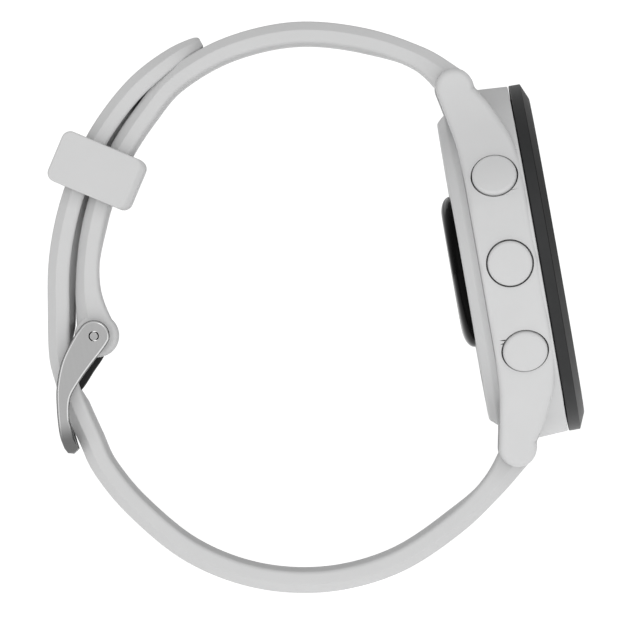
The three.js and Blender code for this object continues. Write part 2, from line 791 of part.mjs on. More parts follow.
function strapLower() {
  const band = ribbon(lowerRoute, 1, ({ s, length }) => {
    const root = swell(s, rootReach);
    const tip = swell(length - s, tipLength);
    return {
      inside: halfThickness + 0.45 * root - 0.6 * tip,
      outside: halfThickness + 1.0 * root - 0.5 * tip,
      half: strapHalf - 3.2 * tip ** 1.5,
    };
  });
  const holes = [];
  for (let i = -holesBelow; i <= holesAbove; i += 1) {
    holes.push(strapHole(atHeight.s + i * holePitch));
  }
  const clearCase = disc(0, 40, caseRadius + gap, 0, fine);
  const shape = joined(cut(band, clearCase), strapEnd(-1, strapHalf));
  return cut(shape, ...holes, throat(-1), leverWindow(-1));
}

add('strap_lower', strapLower(), whitestone, 0.7);

// ---- spring bars ----------------------------------------------------------------------------------

const tubeEnd = leverCollarY[1] + barTravel + 0.1;
const plungerEnd = tubeEnd + 3;
for (const [side, up] of [['upper', 1], ['lower', -1]]) {
  const [x, z] = [lugPinX, up * lugPinZ];
  const tube = barY(x, z, barDiameter / 2, tubeEnd, barEndY - 0.1);
  const fixedTip = barY(x, z, barTipDiameter / 2, barEndY - 1, lugInnerY + barTipReach);
  const bore = barY(x, z, barTipDiameter / 2 + fitGap, tubeEnd - 1, plungerEnd + barTravel + 0.2);
  add(`${side}_spring_bar`, cut(joined(tube, fixedTip), bore), steel, 0.3, 1);

  const stem = barY(x, z, barTipDiameter / 2, -lugInnerY - barTipReach, plungerEnd);
  const collar = barY(x, z, barDiameter / 2, ...leverCollarY);
  const [dx, dz] = leverAway(up);
  const middleY = (leverCollarY[0] + leverCollarY[1]) / 2;
  const lever = rod([x, middleY, z], [x + dx, middleY, z + dz], 0.45, 12);
  add(`${side}_bar_plunger`, joined(stem, collar, lever), steel, 0.3, 1);
}

// ---- keeper ---------------------------------------------------------------------------------------

const keeperAngle = 147.2;
const keeperMiddle = flankRadius + layerStep / 2 - 0.05;
const keeperHalf = layerStep / 2 + halfThickness + gap;

function keeper() {
  const [cx, cz] = onCircle(flankCentre, keeperMiddle, keeperAngle);
  const out = [Math.cos(radians(keeperAngle)), Math.sin(radians(keeperAngle))];
  const put = (v, t) => [cx + out[0] * v - out[1] * t, cz + out[1] * v + out[0] * t];
  const outer = keeperHalf + keeperWall;
  const corner = 1.1;
  const reach = keeperLength / 2;
  const outline = [
    ...arc([outer - corner, reach - corner], corner, 0, 90, 4),
    ...arc([corner - outer, reach - corner], corner, 90, 180, 4),
    ...arc([corner - outer, corner - reach], corner, 180, 270, 4),
    ...arc([outer - corner, corner - reach], corner, 270, 360, 4),
  ].map(([v, t]) => put(v, t));
  const clear = strapHalf + gap;
  const inner = [[-1, -1], [1, -1], [1, 1], [-1, 1]].map(([v, t]) => put(v * keeperHalf, t * keeperLength));
  const block = alongY(outline, -clear - keeperSideWall, clear + keeperSideWall);
  return cut(block, alongY(inner, -clear, clear));
}

add('strap_keeper', keeper(), whitestone, 0.7);

// ---- buckle ---------------------------------------------------------------------------------------

const fromPin = ([dx, dz]) => [bucklePin[0] + dx, bucklePin[1] + dz];
const outerFace = -passGap - halfThickness; // the hole half's two faces where it passes the pin
const innerFace = halfThickness - passGap;
const armHead = 1.9;
const armInnerY = strapHalf + gap;
const armOuterY = armInnerY + buckleArmThickness;

function buckleFrame() {
  const outerEdge = smooth([
    onCircle([0, 0], armHead, 132),
    [-2.38, 0.3],
    [-4.21, -2.18],
    [outerFace + 0.34, -5.01],
    [outerFace - 0.15, -7.75],
    [outerFace - 0.36, -10.85],
    [outerFace - 0.09, -12.6],
  ], 18);
  const end = [[0.25, -13.25], [0.95, -13.45], [1.5, -13.0]].map(([dx, dz]) => [outerFace + dx, dz]);
  const innerEdge = smooth([
    [outerFace + 1.4, -12.3],
    [outerFace + 1.2, -10.15],
    [outerFace + 1.15, -9.0],
    [outerFace + 1.66, -6.83],
    [-2.7, -5.12],
    [-0.93, -3.36],
    [0.96, -1.63],
    onCircle([0, 0], armHead, -25),
  ], 18);
  const head = arc([0, 0], armHead, -25, 132, 12).slice(1, -1);
  const outline = [...outerEdge, ...end, ...innerEdge, ...head].map(fromPin);
  const arms = [1, -1].map((side) => {
    const [low, high] = side > 0 ? [armInnerY, armOuterY] : [-armOuterY, -armInnerY];
    const bore = barY(...bucklePin, bucklePinDiameter / 2 + fitGap, low - 1, high + 1);
    return cut(alongY(outline, low, high), bore);
  });
  const barOutline = [
    [-0.34, -11.2],
    [-0.09, -12.6],
    [0.25, -13.25],
    [0.95, -13.45],
    [1.4, -13.0],
    [1.3, -12.3],
    [1.08, -11.2],
  ].map(([dx, dz]) => fromPin([outerFace + dx, dz]));
  const crossbar = alongY(barOutline, -armInnerY - 0.5, armInnerY + 0.5);
  const notch = alongY([
    [-1.3, -9],
    [-1.3, -12.4],
    [0.62, -12.4],
    [0.52, -9],
  ].map(([dx, dz]) => fromPin([outerFace + dx, dz])), -tongueWidth / 2 - 0.25, tongueWidth / 2 + 0.25);
  return cut(joined(...arms, crossbar), notch);
}

add('buckle_frame', buckleFrame(), steel, 0.3, 1);

function buckleTongue() {
  const half = tongueWidth / 2;
  const hub = barY(...bucklePin, hubRadius, -half, half);
  const bore = barY(...bucklePin, bucklePinDiameter / 2 + fitGap, -half - 1, half + 1);
  const innerEdge = smooth([
    [1.2, -0.7],
    [0.83, -2.4],
    [-0.85, -4.25],
    [innerFace + 0.6, -6],
    [0.15 - passGap, -7.15],
    [outerFace + 0.55, -8.35],
    [outerFace + 0.35, -12],
  ], 16);
  const outerEdge = smooth([
    [outerFace - 0.28, -11.9],
    [outerFace - 0.2, -8.7],
    [outerFace + 0.6, -6.95],
    [innerFace - 0.24, -5.21],
    [-1.6, -3.4],
    [-1.1, -0.8],
  ], 16);
  const blade = alongY([...innerEdge, ...outerEdge].map(fromPin), -half, half);
  return cut(joined(hub, blade), bore);
}

add('buckle_tongue', buckleTongue(), 0x2a2b2d, 0.35, 1);
add('buckle_pin', barY(...bucklePin, bucklePinDiameter / 2, -armOuterY, armOuterY), steel, 0.3, 1);

export default group;
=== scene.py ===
import math

import bpy
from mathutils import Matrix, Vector


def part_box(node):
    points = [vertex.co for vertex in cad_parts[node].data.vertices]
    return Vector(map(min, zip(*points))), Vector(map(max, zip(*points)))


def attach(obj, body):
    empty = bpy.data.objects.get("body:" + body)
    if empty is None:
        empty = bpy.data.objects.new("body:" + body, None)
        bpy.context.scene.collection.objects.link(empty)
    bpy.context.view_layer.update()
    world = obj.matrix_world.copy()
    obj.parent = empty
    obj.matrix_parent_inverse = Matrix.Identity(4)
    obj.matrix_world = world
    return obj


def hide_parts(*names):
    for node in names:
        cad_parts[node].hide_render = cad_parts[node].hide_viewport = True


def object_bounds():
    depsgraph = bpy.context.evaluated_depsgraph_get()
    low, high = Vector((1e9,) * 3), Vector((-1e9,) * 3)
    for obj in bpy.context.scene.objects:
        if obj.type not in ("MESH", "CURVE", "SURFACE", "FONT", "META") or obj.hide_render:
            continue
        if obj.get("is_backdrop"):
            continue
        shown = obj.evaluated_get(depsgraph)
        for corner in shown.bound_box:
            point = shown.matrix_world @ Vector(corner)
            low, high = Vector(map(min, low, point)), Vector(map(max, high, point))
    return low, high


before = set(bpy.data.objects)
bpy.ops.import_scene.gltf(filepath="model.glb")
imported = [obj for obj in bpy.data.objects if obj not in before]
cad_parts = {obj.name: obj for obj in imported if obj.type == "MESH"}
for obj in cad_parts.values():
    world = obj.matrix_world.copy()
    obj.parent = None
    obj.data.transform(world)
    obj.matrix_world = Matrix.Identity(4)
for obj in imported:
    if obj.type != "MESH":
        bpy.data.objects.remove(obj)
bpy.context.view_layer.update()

MM = 0.001
TINY = 1e-6  # metres: points nearer than this are one point


def span(node):
    """A frame node's lowest and highest corner, in millimetres."""
    low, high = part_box(node)
    return low / MM, high / MM


# ---- sizes in millimetres, as the frame has them ---------------------------------------------------

CASE_RADIUS = 21.2
CASE_FRONT = 10.44
BAND_BACK = 3.3
BACK_PLANE = 1.37
COVER_RADIUS = CASE_RADIUS - 2.3
CAVITY_RADIUS = 18.4
LEDGE_RADIUS = 17.4
LEDGE_BACK = 9.44
PIN_X = 4.1
PIN_Z = 21.9
LUG_INNER = 10.3
STRAP_HALF = 10.0
HALF_THICK = 1.3
TONGUE_HALF = 0.85
BUTTON_X = 6.93
BUTTON_RADIUS = 2.675
SCREW_CIRCLE = 16.4
SCREW_ANGLES = (50, 130, 230, 310)

pin_low, pin_high = span("buckle_pin")
BUCKLE_PIN = ((pin_low.x + pin_high.x) / 2, (pin_low.z + pin_high.z) / 2)
ARM_OUTER = pin_high.y

CROWN_CENTRE, CROWN_RADIUS = (PIN_X - 20.4, PIN_Z - 16.3), 26.2
FOOT_CENTRE, FOOT_RADIUS = (PIN_X - 23.3, 15.15 - PIN_Z), 26.95
FLANK_RADIUS = 33.0


def on_circle(centre, radius, degrees):
    turn = math.radians(degrees)
    return (centre[0] + radius * math.cos(turn), centre[1] + radius * math.sin(turn))


FLANK_CENTRE = on_circle(CROWN_CENTRE, FLANK_RADIUS - CROWN_RADIUS + 0.55, 139.4 - 180)
LAYER_STEP = 3.45
PASS_GAP = 4.4
OUTER_FACE = -PASS_GAP - HALF_THICK
INNER_FACE = HALF_THICK - PASS_GAP


# ---- outlines --------------------------------------------------------------------------------------

def smooth(points, steps):
    """Points along a soft curve that passes through the given ones."""
    padded = [points[0], *points, points[-1]]
    spans = len(points) - 1
    curve = []
    for i in range(steps + 1):
        along = i / steps * spans
        k = min(int(along), spans - 1)
        t = along - k
        around = zip(padded[k], padded[k + 1], padded[k + 2], padded[k + 3])
        curve.append(tuple(
            b + ((c - a) * t + (2 * a - 5 * b + 4 * c - d) * t**2 + (3 * b - a - 3 * c + d) * t**3) / 2
            for a, b, c, d in around
        ))
    return curve


def arc(centre, radius, start, stop, steps):
    return [on_circle(centre, radius, start + (stop - start) * i / steps) for i in range(steps + 1)]


def rounded(corners, steps=4):
    """An outline from (a, b, radius) corners, each rounded to its radius."""
    outline = []
    for i, (a, b, radius) in enumerate(corners):
        here = Vector((a, b))
        if not radius:
            outline.append((a, b))
            continue
        back = (Vector(corners[i - 1][:2]) - here).normalized()
        ahead = (Vector(corners[(i + 1) % len(corners)][:2]) - here).normalized()
        half = back.angle(ahead) / 2
        centre = here + (back + ahead).normalized() * radius / math.sin(half)
        first = here + back * radius / math.tan(half) - centre
        last = here + ahead * radius / math.tan(half) - centre
        sweep = first.angle(last)
        for k in range(steps + 1):
            share = k / steps
            spoke = first * math.sin((1 - share) * sweep) + last * math.sin(share * sweep)
            outline.append(tuple(centre + spoke / math.sin(sweep)))
    return outline


# ---- workshop --------------------------------------------------------------------------------------

def point(x, y, z):
    return Vector((x, y, z)) * MM


def lay_down():
    bpy.ops.object.select_all(action="DESELECT")


def take(piece):
    lay_down()
    piece.select_set(True)
    bpy.context.view_layer.objects.active = piece


def open_up(piece):
    take(piece)
    bpy.ops.object.mode_set(mode="EDIT")
    bpy.ops.mesh.select_all(action="SELECT")


def close_up():
    bpy.ops.object.mode_set(mode="OBJECT")


def drawn(name, points):
    """A line through the points, drawn corner by corner; the piece is left open for editing."""
    lay_down()
    bpy.ops.mesh.primitive_plane_add(size=MM)
    piece = bpy.context.object
    piece.name = piece.data.name = name
    bpy.ops.object.mode_set(mode="EDIT")
    bpy.ops.mesh.select_mode(type="VERT")
    bpy.ops.mesh.select_all(action="SELECT")
    bpy.ops.mesh.merge(type="CENTER")
    corners = [point(*p) for p in points]
    bpy.ops.transform.translate(value=corners[0])
    for here, there in zip(corners, corners[1:]):
        bpy.ops.mesh.extrude_region_move(TRANSFORM_OT_translate={"value": there - here})
    bpy.ops.mesh.select_all(action="SELECT")
    return piece


def plate(name, points):
    """A flat face inside the points, left open and selected."""
    piece = drawn(name, [*points, points[0]])
    bpy.ops.mesh.remove_doubles(threshold=TINY)
    bpy.ops.mesh.edge_face_add()
    return piece


def face_out():
    bpy.ops.mesh.select_all(action="SELECT")
    bpy.ops.mesh.remove_doubles(threshold=TINY)
    bpy.ops.mesh.normals_make_consistent(inside=False)


def pushed(name, outline, low, high):
    """An (x, z) outline pushed along Y."""
    piece = plate(name, [(x, low, z) for x, z in outline])
    bpy.ops.mesh.extrude_region_move(TRANSFORM_OT_translate={"value": point(0, high - low, 0)})
    face_out()
    close_up()
    return piece


def spun(name, points, centre, axis, steps):
    piece = drawn(name, points)
    bpy.ops.mesh.spin(steps=steps, angle=math.tau, center=point(*centre), axis=axis)
    face_out()
    close_up()
    return piece


def turned(name, outline, steps=128):
    """A closed (x, radius) outline turned about the case's axis."""
    points = [(x, 0, radius) for x, radius in [*outline, outline[0]]]
    return spun(name, points, (0, 0, 0), (1, 0, 0), steps)


def turned_solid(name, outline, steps=128):
    """As turned, for an outline that starts and ends on the axis."""
    return spun(name, [(x, 0, radius) for x, radius in outline], (0, 0, 0), (1, 0, 0), steps)


def bar(name, place, radius, low, high, steps=64, ends=0.0):
    """A round bar along Y about an (x, z) place, its two rims rounded by ends."""
    x, z = place
    rim = [(0.0, low, 0), (radius, low, ends), (radius, high, ends), (0.0, high, 0)]
    outline = [(x + r, y, z) for r, y in rounded(rim)]
    return spun(name, outline, (x, 0, z), (0, 1, 0), steps)


def pick(piece, wanted):
    """Selects the faces for which wanted(middle in millimetres, normal) holds."""
    bpy.ops.mesh.select_all(action="DESELECT")
    bpy.ops.mesh.select_mode(type="FACE")
    close_up()
    for face in piece.data.polygons:
        face.select = wanted(face.center / MM, face.normal)
    bpy.ops.object.mode_set(mode="EDIT")


def modifier(piece, kind, **settings):
    take(piece)
    bpy.ops.object.modifier_add(type=kind)
    added = piece.modifiers[-1]
    for name, value in settings.items():
        setattr(added, name, value)
    bpy.ops.object.modifier_apply(modifier=added.name)


def joined(piece, *others):
    take(piece)
    for other in others:
        other.select_set(True)
    bpy.ops.object.join()
    return piece


def carve(piece, tool, operation="DIFFERENCE"):
    """The tool's room is taken out of the piece, or its stuff put on, and the tool is used up."""
    modifier(piece, "BOOLEAN", object=tool, operation=operation, solver="EXACT", use_self=False)
    bpy.data.objects.remove(tool)
    open_up(piece)
    bpy.ops.mesh.remove_doubles(threshold=TINY)
    bpy.ops.mesh.dissolve_degenerate(threshold=TINY)
    close_up()
    return piece


def weld(piece, other):
    return carve(piece, other, "UNION")


def eased(piece, width, steps=3, angle=35):
    """Sharp edges rounded over."""
    modifier(
        piece, "BEVEL", width=width * MM, segments=steps, limit_method="ANGLE",
        angle_limit=math.radians(angle), miter_outer="MITER_ARC", harden_normals=False,
    )
    return piece


def mirrored(piece):
    """The piece and its twin on the other side of the case."""
    modifier(piece, "MIRROR", use_axis=(False, True, False), use_mirror_merge=False)
    return piece


def copied(piece, name):
    take(piece)
    bpy.ops.object.duplicate(linked=False)
    twin = bpy.context.object
    twin.name = twin.data.name = name
    return twin


def settled(piece):
    """The piece's turn and place go into its mesh."""
    take(piece)
    bpy.ops.object.transform_apply(location=True, rotation=True, scale=True)
    return piece


def swung(piece, degrees, axis="X"):
    setattr(piece.rotation_euler, axis.lower(), math.radians(degrees))
    return settled(piece)


def done(piece, finish, body, slot, *nodes, soft_angle=38):
    """The finished piece gets its material and body, and the frame nodes that it stands for are hidden. Its slot is
    not used.
    """
    take(piece)
    bpy.ops.object.shade_smooth_by_angle(angle=math.radians(soft_angle))
    modifier(piece, "WEIGHTED_NORMAL", keep_sharp=True, weight=90)
    piece.data.materials.clear()
    piece.data.materials.append(finish)
    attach(piece, body)
    if nodes:
        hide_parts(*nodes)
    return piece


# ---- shader sums -----------------------------------------------------------------------------------

class Value:
    """A number on a shader socket; sums with it add Math nodes."""

    def __init__(self, tree, socket):
        self.tree = tree
        self.socket = socket

    def worked(self, operation, *terms):
        return self.tree.node("Math", {"operation": operation}, terms)

    def __add__(self, other):
        return self.worked("ADD", self, other)

    def __sub__(self, other):
        return self.worked("SUBTRACT", self, other)

    def __mul__(self, other):
        return self.worked("MULTIPLY", self, other)

    def __truediv__(self, other):
        return self.worked("DIVIDE", self, other)

    def __rsub__(self, other):
        return self.worked("SUBTRACT", other, self)

    __radd__ = __add__
    __rmul__ = __mul__

    def power(self, exponent):
        return self.worked("POWER", self, exponent)

    def least(self, other):
        return self.worked("MINIMUM", self, other)

    def most(self, other):
        return self.worked("MAXIMUM", self, other)

    def over(self, edge, softness):
        """0 below the edge and 1 above it, with a soft step."""
        sockets = {"Value": self, "From Min": edge - softness, "From Max": edge + softness}
        return self.tree.node("MapRange", {"interpolation_type": "SMOOTHSTEP"}, sockets)


class Shader:
    """A node tree with one way to add a node."""

    def __init__(self, tree):
        self.tree = tree

    def node(self, kind, settings=None, sockets=(), output=0):
        made = self.tree.nodes.new("ShaderNode" + kind)
        for name, value in (settings or {}).items():
            if name == "stops":
                ramp = made.color_ramp
                while len(ramp.elements) < len(value):
                    ramp.elements.new(1.0)
                for stop, (place, colour) in zip(ramp.elements, value):
                    stop.position = place
                    stop.color = colour
            else:
                setattr(made, name, value)
        pairs = sockets.items() if isinstance(sockets, dict) else enumerate(sockets)
        for name, value in pairs:
            if isinstance(value, Value):
                self.tree.links.new(value.socket, made.inputs[name])
            elif value is not None:
                made.inputs[name].default_value = value
        return Value(self, made.outputs[output])

    def coordinates(self, kind="Object"):
        return self.node("TexCoord", output=kind)

    def parts(self, vector):
        made = self.node("SeparateXYZ", None, [vector])
        return [Value(self, socket) for socket in made.socket.node.outputs]

    def noise(self, scale, detail=3.0, roughness=0.55, vector=None):
        sockets = {
            "Vector": vector or self.coordinates(), "Scale": scale, "Detail": detail, "Roughness": roughness,
        }
        return self.node("TexNoise", None, sockets)

    def vector(self, x, y, z):
        return self.node("CombineXYZ", None, [x, y, z])

    def mixed(self, share, first, second):
        """A colour between two others."""
        sockets = {0: share, 6: first, 7: second}
        return self.node("Mix", {"data_type": "RGBA"}, sockets, output=2)

    def bumped(self, height, depth, strength=1.0, normal=None):
        """A surface normal from a height of 0 to 1 that is worth a depth in millimetres."""
        sockets = {"Height": height, "Distance": depth * MM, "Strength": strength, "Normal": normal}
        return self.node("Bump", None, sockets)


class Finish(Shader):
    """A material on one Principled shader."""

    def __init__(self, name, **constants):
        self.material = bpy.data.materials.new(name)
        self.material.use_nodes = True
        super().__init__(self.material.node_tree)
        self.shader = self.tree.nodes["Principled BSDF"]
        for socket, value in constants.items():
            self.put(socket.replace("_", " "), value)

    def put(self, socket, value):
        if isinstance(value, Value):
            self.tree.links.new(value.socket, self.shader.inputs[socket])
        else:
            self.shader.inputs[socket].default_value = value


def grey(level, warmth=0.0):
    return (level * (1 + warmth), level, level * (1 - warmth), 1.0)


# ---- finishes --------------------------------------------------------------------------------------

def whitestone_polymer():
    f = Finish("whitestone_polymer", IOR=1.46)
    f.put("Base Color", f.mixed(f.noise(230, 3), grey(0.565, -0.003), grey(0.600, -0.003)))
    f.put("Roughness", 0.40 + 0.12 * f.noise(900, 4))
    fine_grain = f.bumped(f.noise(8200, 3), 0.010, 0.5)
    f.put("Normal", f.bumped(f.noise(320, 2), 0.020, 0.25, fine_grain))
    return f.material


def whitestone_silicone():
    f = Finish("whitestone_silicone", IOR=1.41)
    f.put("Base Color", f.mixed(f.noise(150, 4), grey(0.545, -0.002), grey(0.580, -0.002)))
    f.put("Roughness", 0.52 + 0.16 * f.noise(700, 5))
    fine_grain = f.bumped(f.noise(11000, 4), 0.008, 0.6)
    f.put("Normal", f.bumped(f.noise(420, 2), 0.018, 0.3, fine_grain))
    return f.material


def around_case(f):
    """Distance from the case's axis in metres, the angle about it, and the place along it."""
    x, y, z = f.parts(f.coordinates())
    return (y * y + z * z).power(0.5), f.node("Math", {"operation": "ARCTAN2"}, [z, y]), x


def slate_bezel():
    f = Finish("slate_bezel", IOR=1.35, Specular_IOR_Level=0.3)
    reach, angle, x = around_case(f)
    turning = f.noise(1.0, 4, 0.6, f.vector(reach * 9000, x * 9000, angle * 9))
    slope = f.parts(f.coordinates("Normal"))[0]
    wall = f.mixed(f.noise(500, 3), grey(0.026, -0.02), grey(0.034, -0.02))
    # The chamfer facing the front (normal x over 0.3) is painted near black: a painted dark reflection, not the
    # bezel's own colour.
    f.put("Base Color", f.mixed(slope.over(0.3, 0.05), wall, grey(0.006, -0.02)))
    f.put("Roughness", 0.34 + 0.14 * turning)
    f.put("Normal", f.bumped(turning, 0.004, 0.5))
    return f.material


def face_glass():
    """Black border printed under the glass, and the dark display inside it."""
    f = Finish("face_glass", IOR=1.4, Specular_IOR_Level=0.3)
    reach, angle, x = around_case(f)
    border = reach.over(0.01655, 0.00005)
    clouds = f.noise(90, 2)
    display = f.mixed(clouds, (0.0085, 0.0095, 0.0105, 1), (0.0115, 0.0125, 0.0135, 1))
    f.put("Base Color", f.mixed(border, display, grey(0.0022)))
    f.put("Roughness", 0.035 + 0.02 * f.noise(180, 4))
    return f.material


def sensor_glass():
    """Black glass with the sensor's windows behind it, and a fine ring where it is cut out."""
    f = Finish("sensor_glass", IOR=1.25, Specular_IOR_Level=0.12)
    reach, angle, x = around_case(f)
    y, z = f.parts(f.coordinates())[1:]
    side = y.most(0 - y)
    height = z.most(0 - z)
    lamp_row = 1 - (side.most(height * 4.2)).over(0.0038, 0.00008)
    light_well = 1 - ((side * 0.55).most(height - 0.0032).most(0.0032 - height)).over(0.00095, 0.00006)
    ring = 1 - ((reach - 0.0062).most(0.0062 - reach)).over(0.00009, 0.00004)
    marks = (lamp_row.most(light_well) * 0.85).most(ring * 0.7)
    f.put("Base Color", f.mixed(marks, grey(0.0035), (0.030, 0.026, 0.027, 1)))
    f.put("Roughness", 0.05 + 0.03 * f.noise(300, 3))
    return f.material


def brushed(name, base, edge, side, roughness, polish, lines):
    """Metal brushed along the buckle on its flat sides and polished on its eased edges. The eased edges are painted
    lighter, a painted highlight;
    the narrow sides and the lower end are painted darker, a painted dark reflection."""
    f = Finish(name, Metallic=1.0)
    x, y, z = f.parts(f.coordinates())
    brushing = f.noise(1.0, 4, 0.65, f.vector(x * lines, y * lines, z * lines * 0.035))
    facing = f.parts(f.coordinates("Normal"))[1]
    turned_out = facing.most(0 - facing)
    flat = turned_out.over(0.93, 0.05)
    # Narrow sides (normal mostly across Y) get the side colour, a painted dark reflection; eased edges get the edge
    # colour, a painted highlight.
    rim = f.mixed(turned_out.over(0.55, 0.12), grey(side), grey(edge))
    whole = f.mixed(flat, rim, f.mixed(brushing, grey(base * 0.92), grey(base * 1.07)))
    # Below z = -10.4 mm the metal is painted darker: a painted dark reflection on the lower end of the arms and
    # tongue.
    f.put("Base Color", f.mixed(z.over(-0.0104, 0.0013), grey(3 * side), whole))
    f.put("Roughness", flat * (roughness - polish + 0.12 * brushing) + polish)
    f.put("Normal", f.bumped(brushing, 0.002, 0.4))
    return f.material


def plain(name, first, second, roughness, scale=900, depth=0.006, metallic=0.0, spread=0.1):
    """A simple finish: two near colours, an uneven gloss and a fine grain."""
    f = Finish(name, Metallic=metallic)
    f.put("Base Color", f.mixed(f.noise(scale, 4), first, second))
    f.put("Roughness", roughness - spread / 2 + spread * f.noise(scale * 1.7, 3))
    f.put("Normal", f.bumped(f.noise(scale * 6, 3), depth, 0.5))
    return f.material


def circuit_board():
    """Green solder mask over a net of copper tracks."""
    f = Finish("circuit_board", IOR=1.5)
    x, y, z = f.parts(f.coordinates())
    cells = {"Vector": f.vector(0.0, y, z), "Scale": 520.0, "Randomness": 0.25}
    tracks = 1 - f.node("TexVoronoi", {"feature": "DISTANCE_TO_EDGE"}, cells).over(0.09, 0.02)
    mask = f.mixed(f.noise(400, 3), (0.010, 0.060, 0.028, 1), (0.014, 0.078, 0.036, 1))
    f.put("Base Color", f.mixed(tracks, mask, (0.040, 0.150, 0.062, 1)))
    f.put("Roughness", 0.32 + 0.12 * f.noise(1200, 2))
    f.put("Normal", f.bumped(tracks, 0.03, 0.6))
    return f.material


polymer = whitestone_polymer()
silicone = whitestone_silicone()
bezel_finish = slate_bezel()
lens_finish = face_glass()
window_finish = sensor_glass()
# The edge and side colours given here are a painted highlight and a painted dark reflection.
satin_steel = brushed("satin_steel", 0.36, 0.72, 0.05, 0.36, 0.2, 5200)
dark_steel = brushed("blackened_steel", 0.035, 0.07, 0.03, 0.36, 0.22, 4200)
bar_steel = plain("bar_steel", grey(0.46), grey(0.56), 0.26, 1200, 0.003, 1.0)
black_plastic = plain("black_plastic", grey(0.014), grey(0.022), 0.5)
rubber = plain("seal_rubber", grey(0.010), grey(0.016), 0.75, 700, 0.01)
gold = plain("gold_plating", (0.80, 0.56, 0.22, 1), (0.86, 0.62, 0.27, 1), 0.24, 1500, 0.002, 1.0)
copper = plain("antenna_copper", (0.72, 0.36, 0.20, 1), (0.80, 0.42, 0.24, 1), 0.3, 900, 0.004, 1.0)
cell_foil = plain("cell_foil", grey(0.50), grey(0.58), 0.34, 350, 0.02, 0.8, 0.16)
flex_film = plain("flex_film", (0.46, 0.17, 0.035, 1), (0.54, 0.21, 0.05, 1), 0.38, 600)
display_film = plain("display_film", grey(0.006), grey(0.010), 0.16, 500, 0.002)
lamp = plain("lamp_resin", (0.62, 0.68, 0.56, 1), (0.70, 0.76, 0.62, 1), 0.2, 1500, 0.004)
diode = plain("diode_resin", (0.016, 0.020, 0.030, 1), (0.022, 0.027, 0.038, 1), 0.14, 1200, 0.003)
board = circuit_board()

INNER_FINISHES = {
    "back_gasket": rubber, "lens_gasket": rubber, "sensor_board": board, "main_board": board,
    "sensor_led_1": lamp, "sensor_led_2": lamp, "sensor_led_3": lamp,
    "photodiode_1": diode, "photodiode_2": diode, "battery": cell_foil, "vibration_motor": bar_steel,
    "buzzer": gold, "inner_frame": black_plastic, "gnss_antenna": copper,
    "display_panel": display_film, "display_flex": flex_film,
    "upper_spring_bar": bar_steel, "lower_spring_bar": bar_steel,
    "charge_socket": black_plastic,
}
for number in range(1, 6):
    INNER_FINISHES[f"button_seal_{number}"] = rubber
    INNER_FINISHES[f"button_switch_{number}"] = bar_steel
for number in range(1, 5):
    INNER_FINISHES[f"charge_pin_{number}"] = gold
for name, finish in INNER_FINISHES.items():
    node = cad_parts[name]
    node.data.materials.clear()
    node.data.materials.append(finish)


# ---- case ------------------------------------------------------------------------------------------

LUG_END = arc((PIN_X, PIN_Z), 2.25, -10, 190, 28)
BAND_FRONT = smooth([
    (CASE_FRONT - 0.1, CASE_RADIUS - 9.6), (CASE_FRONT - 0.75, CASE_RADIUS - 6.2),
    (CASE_FRONT - 1.72, CASE_RADIUS - 3.85), (CASE_FRONT - 2.72, CASE_RADIUS - 1.8),
    (CASE_FRONT - 3.62, CASE_RADIUS - 0.4), LUG_END[0],
], 30)[:-1]
BAND_REAR = smooth([
    LUG_END[-1], (BAND_BACK - 0.75, CASE_RADIUS - 3.0), (BAND_BACK - 0.2, CASE_RADIUS - 6.4),
    (BAND_BACK, CASE_RADIUS - 10.5),
], 18)[1:]
FLARE = smooth([
    (12.8, 25.15), (13.3, PIN_Z), (14.8, PIN_Z - 4.5), on_circle((0, 0), CASE_RADIUS + 0.05, 34),
    on_circle((0, 0), CASE_RADIUS + 0.15, 20), (CASE_RADIUS + 0.2, 0),
], 90)


def flare(z):
    """How far out the side band stands at a height."""
    z = min(abs(z), FLARE[0][1])
    for (y_top, z_top), (y_low, z_low) in zip(FLARE, FLARE[1:]):
        if z_low <= z <= z_top:
            share = (z - z_low) / (z_top - z_low)
            return y_low + (y_top - y_low) * share
    return FLARE[-1][0]


def side_bands():
    """Both side bands with their lugs: the side view pushed out flat, its rim rounded, then leaned
    to the flare of the plan view."""
    upper = [*BAND_FRONT, *LUG_END, *BAND_REAR]
    straight = [(BAND_BACK, z * 0.7) for z in range(14, -15, -1)]
    front_straight = [(CASE_FRONT - 0.1, z * 0.7) for z in range(-15, 16)]
    lower = [(x, -z) for x, z in reversed(upper)]
    top = CASE_RADIUS + 0.2
    band = pushed("side_bands", [*upper, *straight, *lower, *front_straight], 2.0, top)
    open_up(band)
    pick(band, lambda middle, normal: normal.y > 0.9)
    bpy.ops.mesh.bevel(offset=0.75 * MM, offset_type="OFFSET", segments=5, affect="EDGES", profile=0.5)
    for cut in range(-48, 49):
        bpy.ops.mesh.select_all(action="SELECT")
        bpy.ops.mesh.bisect(plane_co=point(0, 0, cut / 2 + 0.13), plane_no=(0, 0, 1), threshold=1e-6)
    close_up()
    for corner in band.data.vertices:
        corner.co.y += (flare(corner.co.z / MM) - top) * MM
    open_up(band)
    bpy.ops.mesh.bisect(
        plane_co=point(0, LUG_INNER, 0), plane_no=(0, 1, 0), use_fill=True, clear_inner=True,
    )
    face_out()
    close_up()
    return mirrored(band)


def button_room(angle):
    """The pocket that a button sits in and the hole for its stem."""
    pocket = bar("pocket", (BUTTON_X, 0), 2.865, -30, -19.65, 72)
    stem = bar("stem_hole", (BUTTON_X, 0), 1.22, -21, -15, 32)
    return swung(weld(pocket, stem), angle - 180)


